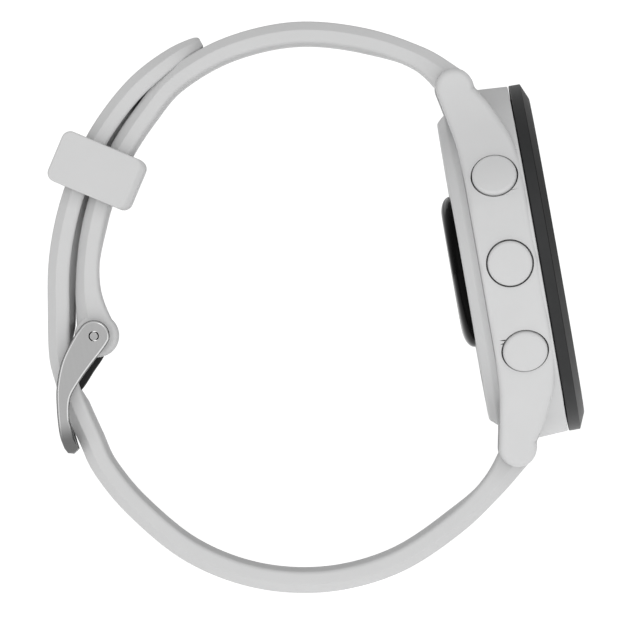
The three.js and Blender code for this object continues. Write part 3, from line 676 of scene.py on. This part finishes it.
def case_body():
    ring = turned("case_body", rounded([
        (BAND_BACK, CAVITY_RADIUS, 0), (BAND_BACK, CASE_RADIUS, 0.45), (6.6, CASE_RADIUS, 3),
        (CASE_FRONT, CASE_RADIUS - 0.23, 0.12),
        (CASE_FRONT, LEDGE_RADIUS, 0), (LEDGE_BACK, LEDGE_RADIUS, 0), (LEDGE_BACK, CAVITY_RADIUS, 0),
    ]), 144)
    inside = turned_solid("inside", [
        (-9, 0), (-9, COVER_RADIUS + 0.05), (BAND_BACK, COVER_RADIUS + 0.05), (BAND_BACK, CAVITY_RADIUS),
        (LEDGE_BACK, CAVITY_RADIUS), (LEDGE_BACK, LEDGE_RADIUS), (20, LEDGE_RADIUS), (20, 0),
    ], 144)
    case = weld(ring, carve(side_bands(), inside))
    rooms = joined(*[button_room(angle) for angle in (150, 180, 210, 30, -30)])
    carve(case, rooms)
    scoops = joined(*[
        bar("scoop", (PIN_X, up * PIN_Z), radius, -reach, reach, 64)
        for up in (1, -1) for radius, reach in ((2.3, LUG_INNER),)
    ])
    carve(case, scoops)
    tips = joined(*[bar("tip_hole", (PIN_X, up * PIN_Z), 0.57, -11.6, 11.6, 24) for up in (1, -1)])
    carve(case, tips)
    return case


case = done(case_body(), polymer, "case", "case_polymer", "case_shell", soft_angle=32)


# ---- back cover, screws, charging socket and sensor window -------------------------------------------

def out_along_x(name, outline, low, high):
    """A (y, z) outline pushed along X."""
    piece = plate(name, [(low, y, z) for y, z in outline])
    bpy.ops.mesh.extrude_region_move(TRANSFORM_OT_translate={"value": point(high - low, 0, 0)})
    face_out()
    close_up()
    return piece


def post(name, y, z, radius, low, high, steps=40):
    """A round post along X."""
    made = turned_solid(name, [(low, 0), (low, radius), (high, radius), (high, 0)], steps)
    made.location = point(0, y, z)
    return settled(made)


SOCKET_MIDDLE, SOCKET_HALF_Y, SOCKET_HALF_Z = -13.7, 4.4, 1.7


def socket_outline(room, corner):
    low, high = SOCKET_MIDDLE - SOCKET_HALF_Z - room, SOCKET_MIDDLE + SOCKET_HALF_Z + room
    reach = SOCKET_HALF_Y + room
    return rounded([(-reach, low, corner), (reach, low, corner), (reach, high, corner), (-reach, high, corner)], 6)


def back_plate():
    cover = turned("back_plate", rounded([
        (BACK_PLANE, 7.45, 0.1), (BACK_PLANE, COVER_RADIUS - 0.85, 0.7), (BACK_PLANE + 1.0, COVER_RADIUS, 0.5),
        (3.27, COVER_RADIUS, 0.05), (3.27, 18.15, 0), (4.2, 18.15, 0), (4.2, 17.25, 0), (2.57, 17.25, 0),
        (2.57, 7.45, 0),
    ], 5), 144)
    seats = [post("seat", *on_circle((0, 0), SCREW_CIRCLE, a), 1.6, 2.07, 3.27) for a in SCREW_ANGLES]
    weld(cover, joined(*seats))
    holes = []
    for angle in SCREW_ANGLES:
        y, z = on_circle((0, 0), SCREW_CIRCLE, angle)
        holes.append(weld(post("sink", y, z, 1.4, 0, 2.17), post("shank_hole", y, z, 0.75, 0, 6)))
    carve(cover, joined(*holes))
    carve(cover, out_along_x("socket_room", socket_outline(0, 0.9), 0, 5))
    return eased(cover, 0.07, 2, 50)


def back_screw():
    """A small screw with a six-sided drive, made on the case's axis."""
    screw = turned_solid("back_screw", rounded([
        (1.47, 0, 0), (1.47, 1.2, 0.16), (2.07, 1.2, 0.05), (2.07, 0.6, 0), (6.5, 0.6, 0.2), (6.5, 0, 0),
    ]), 40)
    return carve(screw, turned_solid("drive", [(0, 0), (0, 0.52), (1.85, 0.52), (1.95, 0)], 6))


def placed_copy(piece, name, x, y, z):
    twin = copied(piece, name)
    twin.location = point(x, y, z)
    return settled(twin)


back = done(back_plate(), polymer, "case", "case_polymer", "back_cover")
first_screw = back_screw()
for number, angle in enumerate(SCREW_ANGLES, 1):
    screw = placed_copy(first_screw, f"back_screw_head_{number}", 0, *on_circle((0, 0), SCREW_CIRCLE, angle))
    done(screw, bar_steel, "case", "steel", f"back_screw_{number}")
bpy.data.objects.remove(first_screw)


def socket_block():
    block = out_along_x("charge_block", socket_outline(-0.1, 0.8), 1.87, 2.87)
    bores = [post("bore", (i - 1.5) * 1.9, SOCKET_MIDDLE, 0.55, 0, 5, 28) for i in range(4)]
    return eased(carve(block, joined(*bores)), 0.06, 2, 50)


done(socket_block(), black_plastic, "case", "black_plastic", "charge_socket")
first_contact = turned_solid("contact", rounded([
    (1.77, 0, 0), (1.77, 0.45, 0.14), (3.07, 0.45, 0.05), (3.07, 0, 0),
]), 32)
for number in range(1, 5):
    contact = placed_copy(first_contact, f"charge_contact_{number}", 0, (number - 2.5) * 1.9, SOCKET_MIDDLE)
    done(contact, gold, "case", "gold", f"charge_pin_{number}")
bpy.data.objects.remove(first_contact)

dome = [
    (1.27 * (1 - math.cos(turn)), 6.9 + 2.25 * math.sin(turn))
    for turn in (math.pi / 2 * i / 14 for i in range(1, 15))
]
sensor = turned("sensor_glass", [
    (0, 0.02), (0, 6.9), *dome, (1.32, 9.1), (1.32, 7.25), (2.97, 7.25), (2.97, 6.45), (0.9, 6.45), (0.9, 0.02),
], 144)
done(sensor, window_finish, "case", "sensor_window", "sensor_window", soft_angle=30)

# ---- bezel and glass ---------------------------------------------------------------------------------

BEZEL_RADIUS = CASE_RADIUS - 0.2
BEZEL_FRONT = CASE_FRONT + 2.33
FACE_RADIUS = BEZEL_RADIUS - 1.9

bezel = turned("bezel", rounded([
    (CASE_FRONT + 0.15, LEDGE_RADIUS + 0.1, 0), (CASE_FRONT + 0.15, BEZEL_RADIUS, 0.12),
    (CASE_FRONT + 1.52, BEZEL_RADIUS, 0.14), (BEZEL_FRONT, FACE_RADIUS, 0.12), (BEZEL_FRONT, FACE_RADIUS - 0.35, 0.06),
    (BEZEL_FRONT - 1.48, FACE_RADIUS - 0.35, 0), (BEZEL_FRONT - 1.48, LEDGE_RADIUS + 0.1, 0),
], 4), 192)
done(bezel, bezel_finish, "case", "bezel", "bezel_ring", soft_angle=40)

GLASS_RADIUS = FACE_RADIUS - 0.5
glass = turned_solid("watch_glass", rounded([
    (CASE_FRONT + 0.85, 0, 0), (CASE_FRONT + 0.85, GLASS_RADIUS, 0.05), (BEZEL_FRONT - 0.1, GLASS_RADIUS, 0.25),
    (BEZEL_FRONT - 0.1, 0, 0),
], 5), 144)
done(glass, lens_finish, "case", "lens", "front_lens")

# ---- buttons -----------------------------------------------------------------------------------------

BUTTONS = {"light": 150, "up": 180, "down": 210, "start": 30, "back": -30}
CAP_TOP = CASE_RADIUS + 0.7


def button_cap():
    """A slightly domed cap with its stem, facing three o'clock's other side."""
    crown = [(math.sin(math.radians(turn)), math.cos(math.radians(turn))) for turn in range(84, -1, -12)]
    outline = [
        (0, 17.5), (0.95, 17.5), (1.1, 17.65), (1.1, 18.55), (0.7, 18.55), (0.7, 19.25), (1.1, 19.25),
        (1.1, 20.35), (BUTTON_RADIUS - 0.08, 20.35), (BUTTON_RADIUS, 20.43), (BUTTON_RADIUS, CAP_TOP - 0.58),
        *[(BUTTON_RADIUS - 0.42 * (1 - out), CAP_TOP - 0.58 + 0.42 * up) for out, up in crown],
        (1.75, CAP_TOP - 0.09), (1.2, CAP_TOP - 0.045), (0.6, CAP_TOP - 0.012), (0, CAP_TOP),
    ]
    points = [(BUTTON_X + out, -height, 0) for out, height in outline]
    return spun("button_cap", points, (BUTTON_X, 0, 0), (0, 1, 0), 96)


first_cap = button_cap()
for name, angle in BUTTONS.items():
    cap = swung(copied(first_cap, f"{name}_cap"), angle - 180)
    done(cap, polymer, f"{name}_button", "case_polymer", f"button_{name}", soft_angle=45)
bpy.data.objects.remove(first_cap)

# ---- strap -------------------------------------------------------------------------------------------

RIB_HALF = 7.0
STRAP_SECTION = rounded([
    (STRAP_HALF, -HALF_THICK, 0.5), (STRAP_HALF, 0.3, 0.22), (STRAP_HALF - 1.0, HALF_THICK, 0.5),
    (1.0 - STRAP_HALF, HALF_THICK, 0.5), (-STRAP_HALF, 0.3, 0.22), (-STRAP_HALF, -HALF_THICK, 0.5),
    (-RIB_HALF - 0.7, -HALF_THICK, 0), (-RIB_HALF, -HALF_THICK, 0),
    (RIB_HALF, -HALF_THICK, 0), (RIB_HALF + 0.7, -HALF_THICK, 0),
], 5)


def soft_line(name, points):
    """A line through (x, z) points, laid flat for the Curve modifier; gives it and its length."""
    line = bpy.data.curves.new(name, "CURVE")
    line.dimensions = "2D"
    line.resolution_u = 64
    spline = line.splines.new("BEZIER")
    spline.bezier_points.add(len(points) - 1)
    for i, bead in enumerate(spline.bezier_points):
        before, here, after = points[max(i - 1, 0)], points[i], points[min(i + 1, len(points) - 1)]
        lean = point((after[0] - before[0]) / 6, (after[1] - before[1]) / 6, 0)
        bead.handle_left_type = bead.handle_right_type = "FREE"
        bead.co = point(*here, 0)
        bead.handle_left = bead.co - lean
        bead.handle_right = bead.co + lean
    made = bpy.data.objects.new(name, line)
    bpy.context.scene.collection.objects.link(made)
    return made, spline.calc_length(resolution=256) / MM


def straight_strap(name, length, stops, side, shape, rib):
    """The strap's section pushed along X from stop to stop, its thickness and width as shape says:
    how far it stands to the wrist and to the outside, and half its width. The middle of its wrist
    side then stands out by what rib says."""
    strap = plate(name, [(0, side * out, across) for across, out in STRAP_SECTION])
    was = (HALF_THICK, HALF_THICK, STRAP_HALF)
    place = 0
    for stop in stops:
        now = shape(stop, length)
        drift = side * (now[1] - now[0] - was[1] + was[0]) / 2
        step = point(stop - place, drift, 0)
        if stop > 0:
            bpy.ops.mesh.extrude_region_move(TRANSFORM_OT_translate={"value": step})
        else:
            bpy.ops.transform.translate(value=step)
        bpy.ops.transform.resize(
            value=(1, (now[0] + now[1]) / (was[0] + was[1]), now[2] / was[2]),
            center_override=point(stop, side * (now[1] - now[0]) / 2, 0),
        )
        was, place = now, stop
    face_out()
    close_up()
    for corner in strap.data.vertices:
        s = min(max(corner.co.x / MM, 0), length)
        toward_wrist, outward, half = shape(s, length)
        in_rib = abs(corner.co.z) < (RIB_HALF + 0.1) * MM * half / STRAP_HALF
        if in_rib and side * corner.co.y < -0.8 * toward_wrist * MM:
            corner.co.y -= side * rib(s) * MM
    return strap


def bent(strap, line):
    """The straight strap follows the line and is stood up on its route."""
    modifier(strap, "CURVE", object=line, deform_axis="POS_X")
    bpy.data.objects.remove(line)
    return swung(strap, 90)


ROOT_REACH = 8  # the strap thickens over this length towards its lugs


def swell(distance, reach):
    return max(0, 1 - distance / reach) ** 2


def ramp(s, start, end):
    """Nought before start, one after end, and eased between them."""
    t = min(1, max(0, (s - start) / (end - start)))
    return t * t * (3 - 2 * t)


def case_room():
    return turned_solid("case_room", [(0, 0), (0, 21.5), (40, 21.5), (40, 0)], 144)


def strap_end(strap, up):
    """The end between the lugs: a roll round the spring bar and a lip that hugs the case."""
    carve(strap, case_room())
    roll = bar("roll", (PIN_X, up * PIN_Z), 2.0, -STRAP_HALF, STRAP_HALF, 72, 0.45)
    lip = pushed("lip", [(PIN_X + x, up * (PIN_Z + z)) for x, z in smooth([
        (-0.9, 0.2), (-0.7, 1.85), (0.8, 2.1), (1.75, 1.45), (2.25, 0.5), (2.4, -0.35), (2.75, -0.9),
        (3.0, -1.6), (3.0, -6.0),
    ], 54) + [(1.3, -6.0)]], -STRAP_HALF, STRAP_HALF)
    eased(lip, 0.4, 4, 50)
    carve(lip, case_room())
    weld(strap, roll)
    weld(strap, lip)
    throat = bar("throat", (PIN_X, up * PIN_Z), 0.97, -30, 30, 32)
    along, across = (-0.8, -0.6 * up), (0.6 * up * 0.85, -0.8 * 0.85)
    window = pushed("window", [
        (PIN_X + across[0], up * PIN_Z + across[1]),
        (PIN_X + along[0] * 4.8 + across[0], up * PIN_Z + along[1] * 4.8 + across[1]),
        (PIN_X + along[0] * 4.8 - across[0], up * PIN_Z + along[1] * 4.8 - across[1]),
        (PIN_X - across[0], up * PIN_Z - across[1]),
    ], -9.6, -7.0)
    return carve(carve(strap, throat), window)


def even(length, step):
    count = round(length / step)
    return [length * i / count for i in range(count + 1)]


UPPER_ROUTE = [
    (PIN_X, PIN_Z), on_circle(CROWN_CENTRE, CROWN_RADIUS + 0.35, 50),
    *[on_circle(CROWN_CENTRE, CROWN_RADIUS, angle) for angle in (66, 84, 102, 118)],
    *[on_circle(FLANK_CENTRE, FLANK_RADIUS, angle) for angle in (132, 142, 152, 162, 172)],
    BUCKLE_PIN,
]


def buckle_strap():
    line, length = soft_line("upper_route", UPPER_ROUTE)

    def shape(s, length):
        lobe, root = swell(length - s, 9), swell(s, ROOT_REACH)
        grown = 2.45 - HALF_THICK
        return (
            HALF_THICK + (grown + 0.4) * lobe + 0.45 * root, HALF_THICK + grown * 0.6 * lobe + root,
            STRAP_HALF,
        )

    def rib(s):
        return 0.28 * ramp(s, 6, 12) * (1 - ramp(s, length - 14, length - 8))

    strap = bent(straight_strap("buckle_strap", length, even(length, 0.9), -1, shape, rib), line)
    strap_end(strap, 1)
    lobe = (BUCKLE_PIN[0] + 0.3, BUCKLE_PIN[1])
    weld(strap, bar("lobe", lobe, 2.6, -STRAP_HALF, STRAP_HALF, 96, 0.6))
    carve(strap, bar("hub_slot", BUCKLE_PIN, 4.45, -1.15, 1.15, 48))
    return carve(strap, bar("pin_bore", BUCKLE_PIN, 0.62, -30, 30, 32))


def beside_pin(dx, dz):
    return (BUCKLE_PIN[0] - PASS_GAP + dx, BUCKLE_PIN[1] + dz)


OUTER_FLANK = FLANK_RADIUS + LAYER_STEP
LOWER_ROUTE = [
    (PIN_X, -PIN_Z), on_circle(FOOT_CENTRE, FOOT_RADIUS + 0.5, -44),
    *[on_circle(FOOT_CENTRE, FOOT_RADIUS, angle) for angle in (-58, -76, -94, -112, -130, -148)],
    on_circle(FOOT_CENTRE, FOOT_RADIUS + 0.45, -161),
    beside_pin(1.83, -12.2), beside_pin(1.12, -9.5), beside_pin(0.53, -7), beside_pin(0.18, -4.5),
    beside_pin(0, -1.6),
    *[on_circle(FLANK_CENTRE, OUTER_FLANK + rise, angle) for angle, rise in (
        (176, 0.12), (166, -0.08), (156, -0.24), (146, -0.34), (138, -0.42), (129, -0.66), (120, -1.2),
        (113.9, -1.75),
    )],
]
HOLE_PITCH, HOLE_COUNT, HOLE_LONG, HOLE_WIDE = 7.0, 13, 4.8, 2.3
TIP_LENGTH = 9
CROSSING = -6.2  # the tongue's hole is this far below the buckle pin
ROUTE_PARTS = 62


def tongue_hole(length):
    """How far along the route the tongue's hole is: the part of the route that is nearest to it."""
    path = smooth(LOWER_ROUTE, 4000)
    steps = [math.dist(a, b) for a, b in zip(path, path[1:])]
    whole, run, goal = sum(steps), 0, beside_pin(0, CROSSING)
    best = (1e9, 0)
    part = 0
    for here, step in zip(path, [*steps, 0]):
        if run >= whole * part / ROUTE_PARTS:
            best = min(best, (math.dist(here, goal), length * part / ROUTE_PARTS))
            part += 1
        run += step
    return best[1]


def strap_hole(place):
    """A long hole's room, a little wider at both faces of the strap."""
    end = (HOLE_LONG - HOLE_WIDE) / 2
    outline = [
        *arc((place + end, 0), HOLE_WIDE / 2, -90, 90, 14), *arc((place - end, 0), HOLE_WIDE / 2, 90, 270, 14),
    ]
    wide, straight = 0.28, 0.0
    bottom = -HALF_THICK - 1.3
    room = plate("hole", [(x, bottom, z) for x, z in outline])
    reach = [(bottom, 0.5 + wide), (-HALF_THICK - 0.5, 0.5 + wide), (-HALF_THICK + 0.28, straight),
             (HALF_THICK - 0.28, straight), (HALF_THICK + 0.5, 0.5 + wide)]
    was, y = 0.0, bottom
    for level, spread in reach:
        if level > y:
            bpy.ops.mesh.extrude_region_move(TRANSFORM_OT_translate={"value": point(0, level - y, 0)})
        bpy.ops.transform.resize(
            value=((HOLE_LONG + 2 * spread) / (HOLE_LONG + 2 * was), 1,
                   (HOLE_WIDE + 2 * spread) / (HOLE_WIDE + 2 * was)),
            center_override=point(place, level, 0),
        )
        was, y = spread, level
    face_out()
    close_up()
    return room


def hole_strap():
    line, length = soft_line("lower_route", LOWER_ROUTE)

    def shape(s, length):
        root, tip = swell(s, ROOT_REACH), swell(length - s, TIP_LENGTH)
        left = min(1.0, (length - s) / 0.8)
        blunt = 0.55 + 0.45 * math.sqrt(1 - (1 - left) ** 2)
        return (
            (HALF_THICK + 0.45 * root - 0.6 * tip) * blunt, (HALF_THICK + root - 0.5 * tip) * blunt,
            (STRAP_HALF - 3.2 * tip**1.5) * (0.9 + 0.1 * blunt),
        )

    first = tongue_hole(length)

    def rib(s):
        single = 0.36 * ramp(s, 6, 12) * (1 - ramp(s, first - 2.6, first - 0.4))
        under = 0.6 + 0.2 * ramp(s, first + 10, first + 13) - 0.25 * ramp(s, first + 18, first + 26)
        return single + under * ramp(s, first + 4.5, first + 8) * (1 - ramp(s, length - 14, length - 4))

    stops = [s for s in even(length, 0.9) if s < length - 1.2]
    stops += [length - left for left in (1.1, 0.8, 0.6, 0.42, 0.28, 0.16, 0.08, 0.03, 0)]
    strap = straight_strap("hole_strap", length, stops, 1, shape, rib)
    above = math.floor((length - TIP_LENGTH - first) / HOLE_PITCH)
    places = [first + i * HOLE_PITCH for i in range(above + 1 - HOLE_COUNT, above + 1)]
    carve(strap, joined(*[strap_hole(place) for place in places]))
    return strap_end(bent(strap, line), -1)


done(buckle_strap(), silicone, "case", "silicone", "strap_upper", soft_angle=35)
done(hole_strap(), silicone, "case", "silicone", "strap_lower", soft_angle=35)

# ---- spring bar levers ---------------------------------------------------------------------------------

def plunger(name, up):
    """The sliding half of a spring bar: its tip, its collar and the lever that the nail pulls."""
    place = (PIN_X, up * PIN_Z)
    stem = bar(name, place, 0.45, -11.2, -4.2, 32, 0.12)
    collar = bar("collar", place, 0.85, -9.3, -8.3, 48, 0.1)
    lever = bar("lever", (0, 0), 0.45, 0, 3.0, 32, 0.2)
    lever.rotation_euler = (0, 0, math.radians(90))
    settled(lever)
    swung(lever, 37 * up, "Y")
    lever.location = point(PIN_X, -8.8, up * PIN_Z)
    return weld(weld(stem, collar), settled(lever))


for side, up in (("upper", 1), ("lower", -1)):
    done(plunger(f"{side}_lever", up), bar_steel, f"{side}_release", "steel", f"{side}_bar_plunger")

# ---- keeper --------------------------------------------------------------------------------------------

KEEPER_ANGLE = 147.2
KEEPER_MIDDLE = FLANK_RADIUS + LAYER_STEP / 2 - 0.2
KEEPER_OUT, KEEPER_REACH, KEEPER_SIDE = 5.37, 3.2, 12.0
TUNNEL_OUT, TUNNEL_SIDE = 3.17, 10.3


def keeper_loop():
    """The loose loop, made upright at the origin and then set on the strap."""
    loop = pushed("keeper_loop", rounded([
        (-KEEPER_OUT, -KEEPER_REACH, 1.1), (KEEPER_OUT, -KEEPER_REACH, 1.1), (KEEPER_OUT, KEEPER_REACH, 1.1),
        (-KEEPER_OUT, KEEPER_REACH, 1.1),
    ], 8), 0.6 - KEEPER_SIDE, KEEPER_SIDE - 0.6)
    for way in (1, -1):
        open_up(loop)
        pick(loop, lambda middle, normal: normal.y * way > 0.9)
        bpy.ops.mesh.extrude_region_move(TRANSFORM_OT_translate={"value": point(0, 0.6 * way, 0)})
        bpy.ops.transform.resize(value=(0.93, 1, 1), center_override=point(KEEPER_OUT, 0, 0))
        close_up()
    open_up(loop)
    face_out()
    close_up()
    eased(loop, 0.22, 4, 25)
    tunnel = out_along_x("tunnel", rounded([
        (-TUNNEL_SIDE, -TUNNEL_OUT, 0.5), (TUNNEL_SIDE, -TUNNEL_OUT, 0.5), (TUNNEL_SIDE, TUNNEL_OUT, 0.5),
        (-TUNNEL_SIDE, TUNNEL_OUT, 0.5),
    ], 4), -6, 6)
    tunnel.rotation_euler = (0, math.radians(90), 0)
    carve(loop, settled(tunnel))
    swung(loop, -KEEPER_ANGLE, "Y")
    x, z = on_circle(FLANK_CENTRE, KEEPER_MIDDLE, KEEPER_ANGLE)
    loop.location = point(x, 0, z)
    return settled(loop)


done(keeper_loop(), silicone, "keeper", "silicone", "strap_keeper", soft_angle=40)

# ---- buckle --------------------------------------------------------------------------------------------

ARM_HEAD = 1.9


def from_pin(points):
    return [(BUCKLE_PIN[0] + dx, BUCKLE_PIN[1] + dz) for dx, dz in points]


ARM_OUTLINE = from_pin([
    *smooth([
        on_circle((0, 0), ARM_HEAD, 132), (-2.38, 0.3), (-4.21, -2.18), (OUTER_FACE + 0.34, -5.01),
        (OUTER_FACE - 0.15, -7.75), (OUTER_FACE - 0.36, -10.85), (OUTER_FACE - 0.09, -12.6),
    ], 48),
    (OUTER_FACE + 0.25, -13.25), (OUTER_FACE + 0.95, -13.45), (OUTER_FACE + 1.5, -13.0),
    *smooth([
        (OUTER_FACE + 1.4, -12.3), (OUTER_FACE + 1.2, -10.15), (OUTER_FACE + 1.15, -9.0),
        (OUTER_FACE + 1.66, -6.83), (-2.7, -5.12), (-0.93, -3.36), (0.96, -1.63),
        on_circle((0, 0), ARM_HEAD, -25),
    ], 48),
    *arc((0, 0), ARM_HEAD, -25, 132, 28)[1:-1],
])
CROSSBAR_OUTLINE = from_pin([
    (OUTER_FACE + dx, dz) for dx, dz in (
        (-0.34, -11.2), (-0.09, -12.6), (0.25, -13.25), (0.95, -13.45), (1.4, -13.0), (1.3, -12.3), (1.08, -11.2),
    )
])


def buckle_arms():
    """Two arms and their crossbar, trimmed to one soft outline as seen from the strap's face."""
    arm = pushed("buckle_arms", ARM_OUTLINE, LUG_INNER, ARM_OUTER)
    open_up(arm)
    pick(arm, lambda middle, normal: normal.y > 0.9)
    bpy.ops.mesh.bevel(offset=0.42 * MM, offset_type="OFFSET", segments=6, affect="EDGES", profile=0.5)
    close_up()
    buckle = mirrored(arm)
    weld(buckle, pushed("crossbar", CROSSBAR_OUTLINE, -LUG_INNER - 0.5, LUG_INNER + 0.5))
    bottom = BUCKLE_PIN[1] - 13.6
    plan = out_along_x("plan", rounded([
        (-ARM_OUTER, bottom, 2.2), (ARM_OUTER, bottom, 2.2), (ARM_OUTER, 6, 0), (-ARM_OUTER, 6, 0),
    ], 14), -60, -30)
    carve(buckle, plan, "INTERSECT")
    eased(buckle, 0.2, 3, 50)
    notch = pushed("notch", from_pin([
        (OUTER_FACE + dx, dz) for dx, dz in ((-1.3, -9), (-1.3, -12.4), (0.62, -12.4), (0.52, -9))
    ]), -TONGUE_HALF - 0.25, TONGUE_HALF + 0.25)
    carve(buckle, notch)
    return carve(buckle, bar("pin_bore", BUCKLE_PIN, 0.62, -30, 30, 32))


def tongue():
    blade = pushed("tongue", from_pin([
        *smooth([
            (1.2, -0.7), (0.83, -2.4), (-0.85, -4.25), (INNER_FACE + 0.6, -6), (0.15 - PASS_GAP, -7.15),
            (OUTER_FACE + 0.55, -8.35), (OUTER_FACE + 0.35, -12),
        ], 40),
        *smooth([
            (OUTER_FACE - 0.28, -11.9), (OUTER_FACE - 0.2, -8.7), (OUTER_FACE + 0.6, -6.95),
            (INNER_FACE - 0.24, -5.21), (-1.6, -3.4), (-1.1, -0.8),
        ], 40),
    ]), -TONGUE_HALF, TONGUE_HALF)
    eased(blade, 0.2, 3, 45)
    weld(blade, bar("hub", BUCKLE_PIN, 1.4, -TONGUE_HALF, TONGUE_HALF, 64, 0.15))
    return carve(blade, bar("pin_bore", BUCKLE_PIN, 0.62, -30, 30, 32))


done(buckle_arms(), satin_steel, "buckle", "steel", "buckle_frame")
done(tongue(), dark_steel, "tongue", "dark_steel", "buckle_tongue")
hinge_pin = bar("hinge_pin", BUCKLE_PIN, 0.5, -ARM_OUTER, ARM_OUTER, 48, 0.1)
done(hinge_pin, satin_steel, "case", "steel", "buckle_pin")


# ---- camera, light and floor -----------------------------------------------------------------------

VIEW_ROLL = 10
VIEW_DISTANCE = 3000
VIEW_WIDTH = 75.6
SENSOR = 36


def camera():
    bpy.ops.object.camera_add(location=point(-17.02, -VIEW_DISTANCE, -2.03))
    made = bpy.context.object
    made.rotation_euler = (math.radians(90), math.radians(VIEW_ROLL), 0)
    made.data.sensor_width = SENSOR
    made.data.lens = SENSOR * VIEW_DISTANCE / VIEW_WIDTH
    made.data.clip_end = 30
    bpy.context.scene.camera = made


def studio():
    """A white room, brighter in front of and behind the watch's sides than above and below."""
    world = bpy.data.worlds.new("studio")
    world.use_nodes = True
    bpy.context.scene.world = world
    room = Shader(world.node_tree)
    room.tree.nodes.clear()
    y = room.parts(room.coordinates("Generated"))[1]
    front = (0 - y).most(0.0)
    back = y.most(0.0)
    strength = 0.42 + 1.04 * front * front + 0.1 * back * back
    lit = room.node("Background", None, {"Color": grey(1.0), "Strength": strength})
    seen = room.node("Background", None, {"Color": grey(1.0), "Strength": 1.1})
    share = room.node("LightPath", output="Is Camera Ray")
    shown = room.node("MixShader", None, [share, lit, seen])
    out = room.tree.nodes.new("ShaderNodeOutputWorld")
    room.tree.links.new(shown.socket, out.inputs["Surface"])


def floor():
    lay_down()
    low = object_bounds()[0]
    bpy.ops.mesh.primitive_plane_add(size=8, location=(0, 0, low.z))
    made = bpy.context.object
    made.name = "floor"
    settled(made)
    f = Finish("pale_floor", Roughness=0.9, Emission_Color=grey(1.0), Emission_Strength=0.8)
    f.put("Base Color", f.mixed(f.noise(3, 2), grey(0.42), grey(0.46)))
    made.data.materials.append(f.material)
    made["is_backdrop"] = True


def softbox(name, place, size, power):
    """A soft square lamp aimed at the middle of the watch."""
    bpy.ops.object.light_add(type="AREA", location=point(*place))
    lamp = bpy.context.object
    lamp.name = name
    lamp.data.size = size * MM
    lamp.data.energy = power
    aim = point(-17, 0, -2) - lamp.location
    lamp.rotation_euler = aim.to_track_quat("-Z", "Y").to_euler()


camera()
studio()
softbox("key_softbox", (500, -900, 650), 420, 1.1)
softbox("fill_softbox", (-700, -700, 300), 500, 0.5)
softbox("rear_softbox", (-300, 900, 500), 500, 0.6)
floor()
bpy.context.scene.view_settings.view_transform = "Standard"
